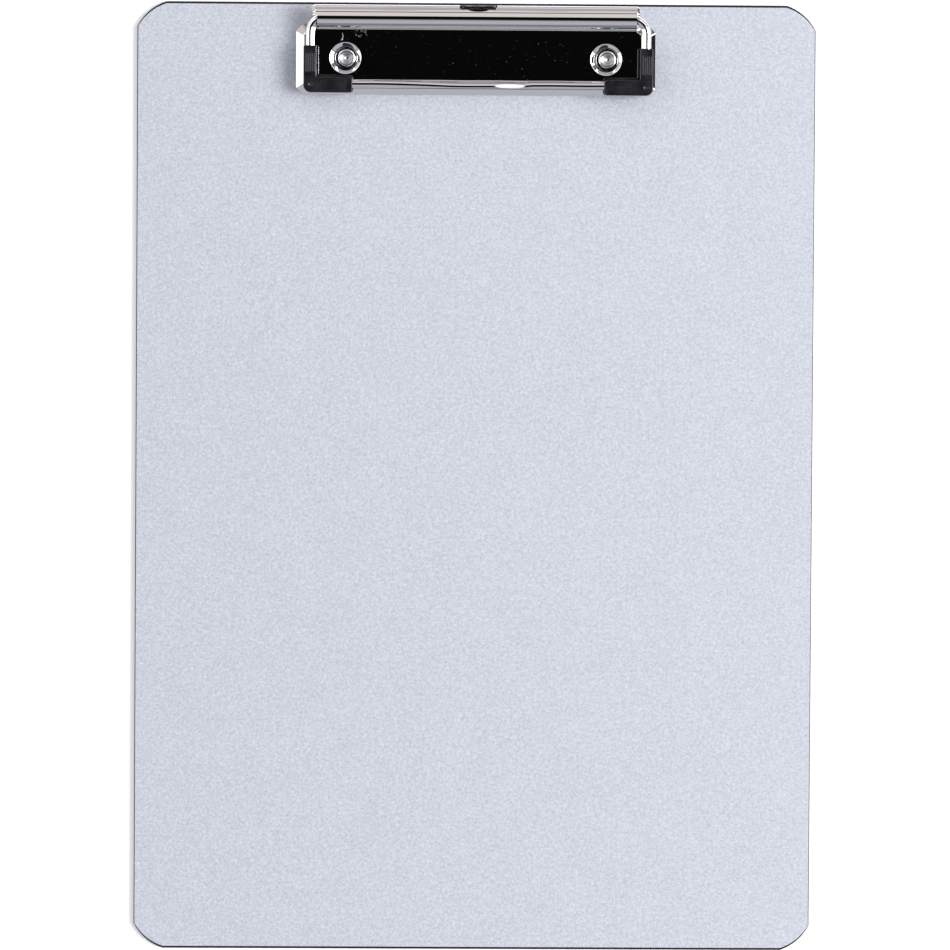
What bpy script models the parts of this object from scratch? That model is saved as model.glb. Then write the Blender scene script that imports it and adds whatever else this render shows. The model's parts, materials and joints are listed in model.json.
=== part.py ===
"""Letter-size metal clipboard with a low, spring-closed wire clip.

Units are metres and +Z is up.  The board lies flat with its middle on the
origin, and the clip sits at the +Y end.  Every piece is one object.
"""
import math

import bmesh
import bpy
from mathutils import Vector

MM = 0.001
CLEARANCE = 0.3 * MM

# Board
BOARD_HALF_X = 114.3 * MM
BOARD_HALF_Y = 159.75 * MM
BOARD_THICKNESS = 2.0 * MM
BOARD_CHAMFER = 0.35 * MM
CORNER_CUT_X = 9.8 * MM
CORNER_CUT_Y = 8.4 * MM
CORNER_RADIUS = 17.0 * MM

# The clip sits a little to the left of the board's middle.
CLIP_X = -0.37 * MM

# Sheet metal of the clip
SHEET = 0.7 * MM
TRAY_HALF_X = 60.5 * MM
TRAY_FRONT_Y = 128.9 * MM
TRAY_BACK_Y = 152.3 * MM
TRAY_FOOT_Z = BOARD_THICKNESS + CLEARANCE
TRAY_TOP_Z = TRAY_FOOT_Z + 2.0 * MM
TRAY_BEVEL = 2.6 * MM
TRAY_CORNER = 2.1 * MM
TRAY_TOP_CORNER = 1.1 * MM

HOLLOW_MARGIN = 0.5 * MM

# Hinge line, shared by the wire, the lever, the knuckles and the spring
HINGE_Y = 154.3 * MM
HINGE_Z = 7.8 * MM
# The jaw wire floats sideways in the lever and rests a little to the right.
JAW_SIDE_PLAY = 0.78 * MM

# Jaw wire
WIRE_RADIUS = 1.5 * MM
LEG_X = 56.6 * MM
BAR_DROP_Y = 22.2 * MM
BAR_Z = 7.0 * MM
HINGE_BEND = 5.0 * MM
CORNER_BEND = 2.8 * MM
PIN_END_X = 1.0 * MM
JAW_TILT = math.atan2(HINGE_Z - BAR_Z, BAR_DROP_Y)

# Knuckles and the tongue that carries them
KNUCKLE_RADIUS = WIRE_RADIUS + CLEARANCE + SHEET / 2
KNUCKLE_X = (18.0 * MM, 34.0 * MM)
KNUCKLE_WRAP_DEG = 250.0
KNUCKLE_SHEET = SHEET * 0.96
TONGUE_HALF_X = 54.2 * MM
TONGUE_FLARE = 1.3 * MM
TONGUE_START_Y = -8.0 * MM
TONGUE_BEND_Y = -2.6 * MM
TONGUE_SHEET = SHEET * 0.98
SHELF_HALF_X = 40.0 * MM
SHELF_BACK_Y = 4.5 * MM
BACK_OPENING_HALF_X = 53.0 * MM
BACK_OPENING_DEPTH = 3.2 * MM

# Lever
LEVER_SHEET = 0.6 * MM
LEVER_RADIUS = 3.3 * MM
LEVER_HALF_X = 54.9 * MM
LEVER_SHIFT_X = -0.83 * MM
ROLL_HALF_X = 53.65 * MM
ROLL_SHIFT_X = -0.54 * MM
ROLL_CUT_Y = 0.6 * MM
LEVER_LIP_DEG = 210.0
FLANGE_SLOPE_DEG = 16.0
FLANGE_EDGE_SLOPE_DEG = 24.0
FLANGE_CREASE_Y = 2.3 * MM
HEM_RADIUS = 0.6 * MM
HEM_BACK_Y = 4.3 * MM
CRIMP_X = (44.5 * MM, 50.5 * MM)
CRIMP_SHEET = 0.5 * MM
CRIMP_START_DEG = 195.0
CRIMP_CLOSE_DEG = 75.0
CRIMP_WRAP_DEG = (280.0, 400.0)
NOTCH_X = -0.15 * MM
NOTCH_HALF_X = 6.3 * MM
NOTCH_SHOULDER = 0.9 * MM
NOTCH_SHOULDER_Y = 0.7 * MM
NOTCH_DEPTH = 1.45 * MM
NOTCH_LOBE_HALF_X = 3.45 * MM
NOTCH_LOBE_DEPTH = 2.2 * MM

# Rivets and what they pass through; each sits a little to the right in its dimple
DIMPLE_X = 43.9 * MM
RIVET_SHIFT_X = 0.35 * MM
RIVET_Y = 140.97 * MM
SHANK_RADIUS = 2.2 * MM
RIVET_HOLE_RADIUS = SHANK_RADIUS + CLEARANCE
RIVET_HEAD_RADIUS = 3.25 * MM
RIVET_HEAD_HEIGHT = 0.95 * MM
RIVET_ROLL = ((0.4, 0.0), (0.8, 0.16), (1.0, 0.47), (1.0, 0.89), (0.9, 1.0))
CUP_RADIUS = 2.35 * MM
CUP_DEPTH = 0.75 * MM
CUP_LIP = 0.1 * MM
TAIL_RADIUS = 3.6 * MM
TAIL_THICKNESS = 0.65 * MM
TAIL_RECESS = 0.05 * MM
TAIL_EDGE = 0.2 * MM
DIMPLE_TOP_RADIUS = 5.26 * MM
DIMPLE_FLOOR_RADIUS = 3.75 * MM
DIMPLE_CUT_ABOVE = 0.2 * MM
COUNTERBORE_DEPTH = TAIL_RECESS + TAIL_THICKNESS + CLEARANCE

# Corner grips, in the jaw's plane with the hinge line as origin
GRIP_HALF_HEIGHT = 2.4 * MM
GRIP_OUTER = 2.15 * MM
GRIP_INNER = 2.2 * MM
GRIP_FRONT = 3.05 * MM
GRIP_REAR = 2.15 * MM
GRIP_LEG_END_Y = -9.45 * MM
GRIP_BAR_END_X = 42.3 * MM
GRIP_CORNER_RADIUS = 2.2 * MM
GRIP_EDGE = 0.5 * MM
GRIP_FLANGE = 0.8 * MM
GRIP_FLANGE_HEIGHT = 0.7 * MM
HAIR = 0.02 * MM

# Torsion spring
SPRING_WIRE_RADIUS = 0.45 * MM
COIL_RADIUS = WIRE_RADIUS + CLEARANCE + SPRING_WIRE_RADIUS
COIL_PITCH = 1.1 * MM
COIL_INNER_X = 6.6 * MM
COIL_TURNS = 5
COIL_STEPS = 12
BRIDGE_Y = 3.72 * MM
BRIDGE_Z = 0.75 * MM
BRIDGE_HALF_X = 5.4 * MM
BRIDGE_BEND = 0.9 * MM
LEG_LEAVES_DEG = 285.0
LEG_TIP_Y = -3.3 * MM

ROUND_STEPS = 32
CUT_MARGIN = 1.0 * MM


def clear_scene():
    for obj in list(bpy.data.objects):
        bpy.data.objects.remove(obj, do_unlink=True)


def make_material(name, colour, roughness, metallic):
    material = bpy.data.materials.new(name)
    material.use_nodes = True
    shader = material.node_tree.nodes["Principled BSDF"]
    shader.inputs["Base Color"].default_value = (*colour, 1.0)
    shader.inputs["Roughness"].default_value = roughness
    shader.inputs["Metallic"].default_value = metallic
    return material


# ---------------------------------------------------------------- outlines

def arc(centre, radius, start_deg, end_deg, steps):
    """Points on a circle from one angle to another, both ends included."""
    points = []
    for step in range(steps + 1):
        angle = math.radians(start_deg + (end_deg - start_deg) * step / steps)
        points.append((centre[0] + radius * math.cos(angle), centre[1] + radius * math.sin(angle)))
    return points


def arc_through(start, end, radius, steps):
    """Points from start to end on a circle that bulges to the right of the chord."""
    a = Vector(start)
    b = Vector(end)
    chord = b - a
    left = Vector((-chord.y, chord.x)).normalized()
    centre = (a + b) / 2 + left * math.sqrt(radius ** 2 - (chord.length / 2) ** 2)
    first = math.degrees(math.atan2(a.y - centre.y, a.x - centre.x))
    last = math.degrees(math.atan2(b.y - centre.y, b.x - centre.x))
    if last < first:
        last += 360.0
    return arc(centre, radius, first, last, steps)


def rectangle(low_a, high_a, low_b, high_b):
    return [(low_a, low_b), (high_a, low_b), (high_a, high_b), (low_a, high_b)]


def tangent_angle(point, radius, side):
    """Angle in degrees where a line from point touches a circle about the hinge."""
    distance = math.hypot(*point)
    middle = math.degrees(math.atan2(point[1], point[0]))
    return middle + side * math.degrees(math.acos(radius / distance))


def strip_outline(path, thickness):
    """Closed outline of a bent sheet whose middle line is path."""
    left = []
    right = []
    for index, point in enumerate(path):
        before = Vector(path[max(index - 1, 0)])
        here = Vector(point)
        after = Vector(path[min(index + 1, len(path) - 1)])
        incoming = (here - before).normalized() if index > 0 else (after - here).normalized()
        outgoing = (after - here).normalized() if index < len(path) - 1 else incoming
        along = (incoming + outgoing).normalized()
        reach = thickness / 2 / max(along.dot(outgoing), 0.5)
        side = Vector((-along.y, along.x)) * reach
        left.append(tuple(here + side))
        right.append(tuple(here - side))
    return left + right[::-1]


def board_outline(inset):
    """The board's outline, its corners cut by an arc that meets the sides at an angle."""
    half_x = BOARD_HALF_X - inset
    half_y = BOARD_HALF_Y - inset
    side_end = BOARD_HALF_Y - CORNER_CUT_Y
    end_end = BOARD_HALF_X - CORNER_CUT_X
    quarter = arc_through((half_x, side_end), (end_end, half_y), CORNER_RADIUS, 8)
    outline = list(quarter)
    outline += [(-x, y) for x, y in reversed(quarter)]
    outline += [(-x, -y) for x, y in quarter]
    outline += [(x, -y) for x, y in reversed(quarter)]
    return outline


def tray_outline(inset, corner):
    """The clip base's outline with its corners cut at 45 degrees."""
    x = TRAY_HALF_X - inset
    front = TRAY_FRONT_Y + inset
    back = TRAY_BACK_Y - inset
    return [
        (x, front + corner), (x, back - corner), (x - corner, back), (-x + corner, back),
        (-x, back - corner), (-x, front + corner), (-x + corner, front), (x - corner, front),
    ]


# ------------------------------------------------------------------ solids

def finish_mesh(name, mesh_edit, smooth_deg=35.0):
    bmesh.ops.recalc_face_normals(mesh_edit, faces=mesh_edit.faces)
    mesh = bpy.data.meshes.new(name)
    mesh_edit.to_mesh(mesh)
    mesh_edit.free()
    mesh.shade_smooth()
    mesh.set_sharp_from_angle(angle=math.radians(smooth_deg))
    return mesh


def loft(name, rings):
    """Closed solid through a stack of outlines, each a list of (x, y, z) points."""
    mesh_edit = bmesh.new()
    loops = [[mesh_edit.verts.new(point) for point in ring] for ring in rings]
    for lower, upper in zip(loops, loops[1:]):
        for index in range(len(lower)):
            following = (index + 1) % len(lower)
            mesh_edit.faces.new((lower[index], lower[following], upper[following], upper[index]))
    mesh_edit.faces.new(loops[0][::-1])
    mesh_edit.faces.new(loops[-1])
    return finish_mesh(name, mesh_edit)


def prism_z(name, outline, low, high):
    return loft(name, [[(x, y, z) for x, y in outline] for z in (low, high)])


def prism_x(name, outline, low, high):
    return loft(name, [[(x, y, z) for y, z in outline] for x in (low, high)])


def turned(name, profile, steps=ROUND_STEPS):
    """Solid of revolution about Z from (radius, height) points that start and end on the axis."""
    mesh_edit = bmesh.new()
    verts = [mesh_edit.verts.new((radius, 0.0, height)) for radius, height in profile]
    edges = [mesh_edit.edges.new(pair) for pair in zip(verts, verts[1:])]
    bmesh.ops.spin(
        mesh_edit, geom=verts + edges, axis=(0, 0, 1), cent=(0, 0, 0),
        angle=math.tau, steps=steps, use_merge=True,
    )
    bmesh.ops.remove_doubles(mesh_edit, verts=mesh_edit.verts, dist=0.001 * MM)
    return finish_mesh(name, mesh_edit)


def wire_curve(name, points, radius, resolution):
    """A round wire along points, with closed ends."""
    curve = bpy.data.curves.new(name, "CURVE")
    curve.dimensions = "3D"
    curve.bevel_depth = radius
    curve.bevel_resolution = resolution
    curve.use_fill_caps = True
    spline = curve.splines.new("POLY")
    spline.points.add(len(points) - 1)
    for control, point in zip(spline.points, points):
        control.co = (*point, 1.0)
    spline.use_smooth = True
    return curve


def add_object(name, data, material, parent=None, location=(0, 0, 0), tilt=0.0):
    obj = bpy.data.objects.new(name, data)
    bpy.context.collection.objects.link(obj)
    data.materials.append(material)
    obj.parent = parent
    obj.location = location
    obj.rotation_euler.x = tilt
    return obj


def combine(target, mesh, operation, location=(0, 0, 0)):
    """Join a hidden helper solid to target, or cut target with it."""
    helper = bpy.data.objects.new(mesh.name, mesh)
    bpy.context.collection.objects.link(helper)
    helper.parent = target
    helper.location = location
    helper.hide_render = True
    helper.display_type = "WIRE"
    modifier = target.modifiers.new(mesh.name, "BOOLEAN")
    modifier.operation = operation
    modifier.solver = "EXACT"
    modifier.object = helper


# ------------------------------------------------------------------ pieces

def build_board(material):
    levels = (
        (0.0, BOARD_CHAMFER),
        (BOARD_CHAMFER, 0.0),
        (BOARD_THICKNESS - BOARD_CHAMFER, 0.0),
        (BOARD_THICKNESS, BOARD_CHAMFER),
    )
    rings = [[(x, y, z) for x, y in board_outline(inset)] for z, inset in levels]
    board = add_object("board", loft("board", rings), material)
    hole = [
        (0.0, -CUT_MARGIN),
        (TAIL_RADIUS + CLEARANCE, -CUT_MARGIN),
        (TAIL_RADIUS + CLEARANCE, COUNTERBORE_DEPTH),
        (RIVET_HOLE_RADIUS, COUNTERBORE_DEPTH),
        (RIVET_HOLE_RADIUS, BOARD_THICKNESS + CUT_MARGIN),
        (0.0, BOARD_THICKNESS + CUT_MARGIN),
    ]
    for side, name in ((-1, "left"), (1, "right")):
        place = (rivet_x(side), RIVET_Y, 0)
        combine(board, turned(f"{name}_board_hole", hole), "DIFFERENCE", place)


def rivet_x(side):
    return CLIP_X + side * DIMPLE_X + RIVET_SHIFT_X


def build_base_plate(material):
    outer = [
        [(x, y, TRAY_FOOT_Z) for x, y in tray_outline(0.0, TRAY_CORNER)],
        [(x, y, TRAY_TOP_Z) for x, y in tray_outline(TRAY_BEVEL, TRAY_TOP_CORNER)],
    ]
    plate = add_object("base_plate", loft("base_plate", outer), material, location=(CLIP_X, 0, 0))

    under_z = TRAY_TOP_Z - SHEET
    slope = TRAY_BEVEL / (TRAY_TOP_Z - TRAY_FOOT_Z)
    low_z = TRAY_FOOT_Z - HOLLOW_MARGIN
    low_inset = SHEET + slope * (low_z - TRAY_FOOT_Z)
    high_inset = SHEET + slope * (under_z - TRAY_FOOT_Z)
    hollow = [
        [(x, y, low_z) for x, y in tray_outline(low_inset, TRAY_CORNER)],
        [(x, y, under_z) for x, y in tray_outline(high_inset, TRAY_TOP_CORNER)],
    ]
    combine(plate, loft("tray_hollow", hollow), "DIFFERENCE")
    open_back(plate)
    add_knuckles(plate)
    add_dimples(plate)


def open_back(plate):
    """Take away the sheet's back flange where the tongue carries the sheet on instead."""
    near = TRAY_BACK_Y - BACK_OPENING_DEPTH
    far = TRAY_BACK_Y + CUT_MARGIN
    outline = rectangle(-BACK_OPENING_HALF_X, BACK_OPENING_HALF_X, near, far)
    low = TRAY_FOOT_Z - CUT_MARGIN
    combine(plate, prism_z("back_opening", outline, low, TRAY_TOP_Z + CUT_MARGIN), "DIFFERENCE")


def add_knuckles(plate):
    """A flat tongue that runs back under the lever, and the two knuckles that rise from it."""
    tongue_z = TRAY_TOP_Z - SHEET / 2 - HINGE_Z
    start = (TONGUE_START_Y, tongue_z)
    bend = (TONGUE_BEND_Y, tongue_z)
    first_deg = tangent_angle(bend, KNUCKLE_RADIUS, 1)
    curl = arc((0, 0), KNUCKLE_RADIUS, first_deg, first_deg + KNUCKLE_WRAP_DEG, 18)
    crease_y = TRAY_BACK_Y - TRAY_BEVEL - HINGE_Y
    right = [
        (TONGUE_HALF_X + TONGUE_FLARE, TONGUE_START_Y), (TONGUE_HALF_X + TONGUE_FLARE, crease_y),
        (TONGUE_HALF_X, crease_y + TONGUE_FLARE), (TONGUE_HALF_X, TONGUE_BEND_Y),
        (SHELF_HALF_X, TONGUE_BEND_Y), (SHELF_HALF_X, SHELF_BACK_Y),
    ]
    tongue = right + [(-x, y) for x, y in reversed(right)]
    low = tongue_z - TONGUE_SHEET / 2
    curled = strip_outline([start, bend] + curl, KNUCKLE_SHEET)
    hinge = (0, HINGE_Y, HINGE_Z)
    combine(plate, prism_z("tongue", tongue, low, low + TONGUE_SHEET), "UNION", hinge)
    near, far = KNUCKLE_X
    combine(plate, prism_x("left_knuckle", curled, -far, -near), "UNION", hinge)
    combine(plate, prism_x("right_knuckle", curled, near, far), "UNION", hinge)


def add_dimples(plate):
    """Drawn cups that bring the sheet down to the board round each rivet."""
    depth = TRAY_TOP_Z - SHEET - TRAY_FOOT_Z
    floor_z = TRAY_FOOT_Z + SHEET
    slope = (DIMPLE_TOP_RADIUS - DIMPLE_FLOOR_RADIUS) / (TRAY_TOP_Z - floor_z)
    wall_top = depth + SHEET / 2
    wall = [
        (0.0, 0.0),
        (DIMPLE_FLOOR_RADIUS + SHEET, 0.0),
        (DIMPLE_FLOOR_RADIUS + SHEET + slope * wall_top, wall_top),
        (0.0, wall_top),
    ]
    cavity_top = TRAY_TOP_Z - TRAY_FOOT_Z + DIMPLE_CUT_ABOVE
    cavity = [
        (0.0, SHEET),
        (DIMPLE_FLOOR_RADIUS, SHEET),
        (DIMPLE_TOP_RADIUS + slope * DIMPLE_CUT_ABOVE, cavity_top),
        (0.0, cavity_top),
    ]
    hole = [
        (0.0, -CUT_MARGIN),
        (RIVET_HOLE_RADIUS, -CUT_MARGIN),
        (RIVET_HOLE_RADIUS, SHEET + CUT_MARGIN),
        (0.0, SHEET + CUT_MARGIN),
    ]
    for side, name in ((-1, "left"), (1, "right")):
        place = (side * DIMPLE_X, RIVET_Y, TRAY_FOOT_Z)
        hole_place = (side * DIMPLE_X + RIVET_SHIFT_X, RIVET_Y, TRAY_FOOT_Z)
        combine(plate, turned(f"{name}_dimple_wall", wall), "UNION", place)
        combine(plate, turned(f"{name}_dimple_cavity", cavity), "DIFFERENCE", place)
        combine(plate, turned(f"{name}_plate_hole", hole), "DIFFERENCE", hole_place)


def lever_path():
    """Middle line of the lever's sheet, from its front lip over the roll to its hemmed edge."""
    roll = arc((0, 0), LEVER_RADIUS, LEVER_LIP_DEG, 90.0 - FLANGE_SLOPE_DEG, 16)
    roll_end = roll[-1]
    crease_z = roll_end[1] - math.tan(math.radians(FLANGE_SLOPE_DEG)) * (FLANGE_CREASE_Y - roll_end[0])
    hem_deg = 90.0 - FLANGE_EDGE_SLOPE_DEG
    hem_y = HEM_BACK_Y - HEM_RADIUS - LEVER_SHEET / 2
    hem_start_y = hem_y + HEM_RADIUS * math.cos(math.radians(hem_deg))
    hem_start_z = crease_z - math.tan(math.radians(FLANGE_EDGE_SLOPE_DEG)) * (hem_start_y - FLANGE_CREASE_Y)
    hem_z = hem_start_z - HEM_RADIUS * math.sin(math.radians(hem_deg))
    hem = arc((hem_y, hem_z), HEM_RADIUS, hem_deg, -90.0, 6)
    return roll + [(FLANGE_CREASE_Y, crease_z)] + hem


def crimp_path():
    """Middle line of a crimp: the lever's lip carried on inwards round the hinge wire."""
    inner_radius = WIRE_RADIUS + CLEARANCE + CRIMP_SHEET / 2
    path = arc((0, 0), LEVER_RADIUS, 180.0, CRIMP_START_DEG, 2)
    steps = 8
    for step in range(1, steps + 1):
        part = step / steps
        radius = LEVER_RADIUS + (inner_radius - LEVER_RADIUS) * part
        angle = math.radians(CRIMP_START_DEG + CRIMP_CLOSE_DEG * part)
        path.append((radius * math.cos(angle), radius * math.sin(angle)))
    return path + arc((0, 0), inner_radius, *CRIMP_WRAP_DEG, 10)


def notch_outline():
    """Hang notch: a shallow bow with a deeper lobe, open at the lever's back edge."""
    edge = HEM_BACK_Y
    lobe_start_y = edge - NOTCH_DEPTH
    right = [
        (NOTCH_HALF_X, edge + CUT_MARGIN),
        (NOTCH_HALF_X, edge - NOTCH_SHOULDER_Y),
        (NOTCH_HALF_X - NOTCH_SHOULDER, lobe_start_y),
    ]
    for x, y in arc((0, 0), 1.0, 0.0, 90.0, 6):
        right.append((NOTCH_LOBE_HALF_X * x, lobe_start_y - (NOTCH_LOBE_DEPTH - NOTCH_DEPTH) * y))
    outline = right + [(-x, y) for x, y in reversed(right[:-1])]
    return [(NOTCH_X + x, y) for x, y in outline]


def build_lever(material, hinge):
    outline = strip_outline(lever_path(), LEVER_SHEET)
    low = LEVER_SHIFT_X - LEVER_HALF_X
    high = LEVER_SHIFT_X + LEVER_HALF_X
    lever = add_object("lever", prism_x("lever", outline, low, high), material, hinge)
    trim = rectangle(-2 * LEVER_RADIUS, ROLL_CUT_Y, -2 * LEVER_RADIUS, 2 * LEVER_RADIUS)
    roll_low = ROLL_SHIFT_X - ROLL_HALF_X
    roll_high = ROLL_SHIFT_X + ROLL_HALF_X
    combine(lever, prism_x("left_roll_trim", trim, low - CUT_MARGIN, roll_low), "DIFFERENCE")
    combine(lever, prism_x("right_roll_trim", trim, roll_high, high + CUT_MARGIN), "DIFFERENCE")
    crimp = strip_outline(crimp_path(), CRIMP_SHEET)
    near, far = CRIMP_X
    combine(lever, prism_x("left_crimp", crimp, -far, -near), "UNION")
    combine(lever, prism_x("right_crimp", crimp, near, far), "UNION")
    combine(lever, prism_z("hang_notch", notch_outline(), -CUT_MARGIN, 5.0 * MM), "DIFFERENCE")


def jaw_wire_points():
    """Middle line of the jaw wire in its own plane, from one pin end round to the other."""
    right = [(PIN_END_X, 0.0)]
    right += [(x, 0.0) for x in (20.0 * MM, 40.0 * MM)]
    right += arc((LEG_X - HINGE_BEND, -HINGE_BEND), HINGE_BEND, 90.0, 0.0, 6)
    right += arc((LEG_X - CORNER_BEND, -BAR_DROP_Y + CORNER_BEND), CORNER_BEND, 0.0, -90.0, 6)
    right += [(x, -BAR_DROP_Y) for x in (36.0 * MM, 18.0 * MM)]
    left = [(-x, y) for x, y in reversed(right)]
    return [(x, y, 0.0) for x, y in right + left]


def build_jaw_wire(material, hinge):
    curve = wire_curve("jaw_wire", jaw_wire_points(), WIRE_RADIUS, 4)
    add_object("jaw_wire", curve, material, hinge, tilt=JAW_TILT)


def grip_outline(side, widen):
    """Plan of a corner grip in the jaw's plane; widen adds the thin foot on its inner sides."""
    outer_x = LEG_X + GRIP_OUTER
    inner_x = LEG_X - GRIP_INNER - widen
    front_y = -BAR_DROP_Y - GRIP_FRONT
    rear_y = -BAR_DROP_Y + GRIP_REAR + widen
    corner = (outer_x - GRIP_CORNER_RADIUS, front_y + GRIP_CORNER_RADIUS)
    points = [(outer_x, GRIP_LEG_END_Y), (inner_x, GRIP_LEG_END_Y), (inner_x, rear_y)]
    points += [(GRIP_BAR_END_X, rear_y), (GRIP_BAR_END_X, front_y)]
    points += arc(corner, GRIP_CORNER_RADIUS, -90.0, 0.0, 5)
    return [(side * x, y) for x, y in points]


def build_corner_grip(name, side, material, hinge):
    body = prism_z(name, grip_outline(side, 0.0), -GRIP_HALF_HEIGHT, GRIP_HALF_HEIGHT)
    bevel_top(body, GRIP_HALF_HEIGHT, GRIP_EDGE)
    grip = add_object(name, body, material, hinge, tilt=JAW_TILT)
    foot_low = -GRIP_HALF_HEIGHT + HAIR
    foot = prism_z(f"{name}_foot", grip_outline(side, GRIP_FLANGE), foot_low, foot_low + GRIP_FLANGE_HEIGHT)
    shrink_foot(foot, side)
    combine(grip, foot, "UNION")
    bore_curve = wire_curve(f"{name}_bore", jaw_wire_points(), WIRE_RADIUS + CLEARANCE, 4)
    helper = bpy.data.objects.new(f"{name}_bore_guide", bore_curve)
    bore = bpy.data.meshes.new_from_object(helper)
    bore.name = f"{name}_bore"
    bpy.data.objects.remove(helper)
    combine(grip, bore, "DIFFERENCE")


def shrink_foot(mesh, side):
    """Draw the foot's outer faces in a hair so that they don't lie on the body's faces."""
    for vert in mesh.vertices:
        if vert.co.x * side > LEG_X:
            vert.co.x -= side * HAIR
        if vert.co.y < -BAR_DROP_Y:
            vert.co.y += HAIR
        if vert.co.x * side < GRIP_BAR_END_X + HAIR:
            vert.co.x += side * HAIR
        if vert.co.y > GRIP_LEG_END_Y - HAIR:
            vert.co.y -= HAIR


def bevel_top(mesh, level, width):
    """Chamfer the edges round a solid's top face."""
    mesh_edit = bmesh.new()
    mesh_edit.from_mesh(mesh)
    rim = [e for e in mesh_edit.edges if all(abs(v.co.z - level) < CLEARANCE for v in e.verts)]
    bmesh.ops.bevel(mesh_edit, geom=rim, offset=width, segments=2, profile=0.5, affect="EDGES")
    mesh_edit.to_mesh(mesh)
    mesh_edit.free()


def build_rivet(name, side, material):
    """Turned rivet: rolled head round a shallow cup, shank, and a tail set flush in the board."""
    floor = TRAY_FOOT_Z + SHEET + CLEARANCE
    crown = floor + RIVET_HEAD_HEIGHT
    roll_width = RIVET_HEAD_RADIUS - CUP_RADIUS
    cup = []
    for step in range(6):
        part = step / 5
        cup.append((CUP_RADIUS * part, crown - CUP_LIP - CUP_DEPTH * (1.0 - part ** 2)))
    roll = [(CUP_RADIUS + roll_width * out, crown - RIVET_HEAD_HEIGHT * down) for out, down in RIVET_ROLL]
    tail_top = TAIL_RECESS + TAIL_THICKNESS
    tail = [
        (SHANK_RADIUS, floor),
        (SHANK_RADIUS, tail_top),
        (TAIL_RADIUS, tail_top),
        (TAIL_RADIUS, TAIL_RECESS + TAIL_EDGE),
        (TAIL_RADIUS - TAIL_EDGE, TAIL_RECESS),
        (0.0, TAIL_RECESS),
    ]
    add_object(name, turned(name, cup + roll + tail), material, location=(rivet_x(side), RIVET_Y, 0))


def spring_points():
    """Middle line of the double torsion spring about the hinge line, left leg to right leg."""
    plate_z = TRAY_TOP_Z - HINGE_Z + CLEARANCE + SPRING_WIRE_RADIUS
    exit_deg = 360.0 + tangent_angle((BRIDGE_Y, BRIDGE_Z), COIL_RADIUS, -1)
    sweep = 360.0 * COIL_TURNS + exit_deg - LEG_LEAVES_DEG
    steps = round(COIL_STEPS * sweep / 360.0)
    outer_x = COIL_INNER_X + COIL_PITCH * sweep / 360.0
    coil = []
    for step in range(steps + 1):
        part = step / steps
        angle = math.radians(LEG_LEAVES_DEG + sweep * part)
        x = -outer_x + COIL_PITCH * sweep / 360.0 * part
        coil.append((x, COIL_RADIUS * math.cos(angle), COIL_RADIUS * math.sin(angle)))
    leaves = math.radians(LEG_LEAVES_DEG)
    fall = (COIL_RADIUS * math.sin(leaves) - plate_z) / math.tan(math.radians(LEG_LEAVES_DEG - 270.0))
    knee_y = COIL_RADIUS * math.cos(leaves) - fall
    leg = [(-outer_x, LEG_TIP_Y, plate_z), (-outer_x, knee_y, plate_z)]
    near_coil = 1.5 * BRIDGE_BEND
    near_bend = 0.4 * BRIDGE_BEND
    bridge = [
        (-COIL_INNER_X, BRIDGE_Y - near_coil, BRIDGE_Z - near_coil * math.tan(coil_rise())),
        (-BRIDGE_HALF_X, BRIDGE_Y - near_bend, BRIDGE_Z - near_bend * math.tan(coil_rise())),
        (-BRIDGE_HALF_X + BRIDGE_BEND - near_bend, BRIDGE_Y, BRIDGE_Z),
        (-BRIDGE_HALF_X + 2 * BRIDGE_BEND, BRIDGE_Y, BRIDGE_Z),
    ]
    left = leg + coil + bridge
    return left + [(-x, y, z) for x, y, z in reversed(left)]


def coil_rise():
    """Slope of the straight run from a coil up to the bridge."""
    exit_angle = math.radians(tangent_angle((BRIDGE_Y, BRIDGE_Z), COIL_RADIUS, -1))
    start_y = COIL_RADIUS * math.cos(exit_angle)
    start_z = COIL_RADIUS * math.sin(exit_angle)
    return math.atan2(BRIDGE_Z - start_z, BRIDGE_Y - start_y)


def build_spring(material, hinge_place):
    curve = wire_curve("torsion_spring", spring_points(), SPRING_WIRE_RADIUS, 2)
    add_object("torsion_spring", curve, material, location=hinge_place)


def main():
    clear_scene()
    aluminium = make_material("anodised_aluminium", (0.62, 0.65, 0.73), 0.45, 0.9)
    plating = make_material("bright_plating", (0.80, 0.80, 0.82), 0.08, 1.0)
    lever_plating = make_material("lever_plating", (0.80, 0.80, 0.82), 0.10, 1.0)
    wire_steel = make_material("plated_wire", (0.78, 0.78, 0.80), 0.10, 1.0)
    rivet_steel = make_material("rivet_steel", (0.75, 0.75, 0.77), 0.15, 1.0)
    spring_steel = make_material("spring_steel", (0.45, 0.45, 0.47), 0.30, 1.0)
    grip_plastic = make_material("grip_plastic", (0.02, 0.02, 0.025), 0.35, 0.0)

    hinge_place = (CLIP_X + JAW_SIDE_PLAY, HINGE_Y, HINGE_Z)
    hinge = bpy.data.objects.new("jaw_hinge", None)
    bpy.context.collection.objects.link(hinge)
    hinge.location = hinge_place

    build_board(aluminium)
    build_base_plate(plating)
    build_lever(lever_plating, hinge)
    build_jaw_wire(wire_steel, hinge)
    build_spring(spring_steel, hinge_place)
    for side, name in ((-1, "left"), (1, "right")):
        build_corner_grip(f"{name}_corner_grip", side, grip_plastic, hinge)
        build_rivet(f"{name}_rivet", side, rivet_steel)


main()
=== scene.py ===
import json
import math

import bmesh
import bpy
from mathutils import Matrix, Vector


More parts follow.
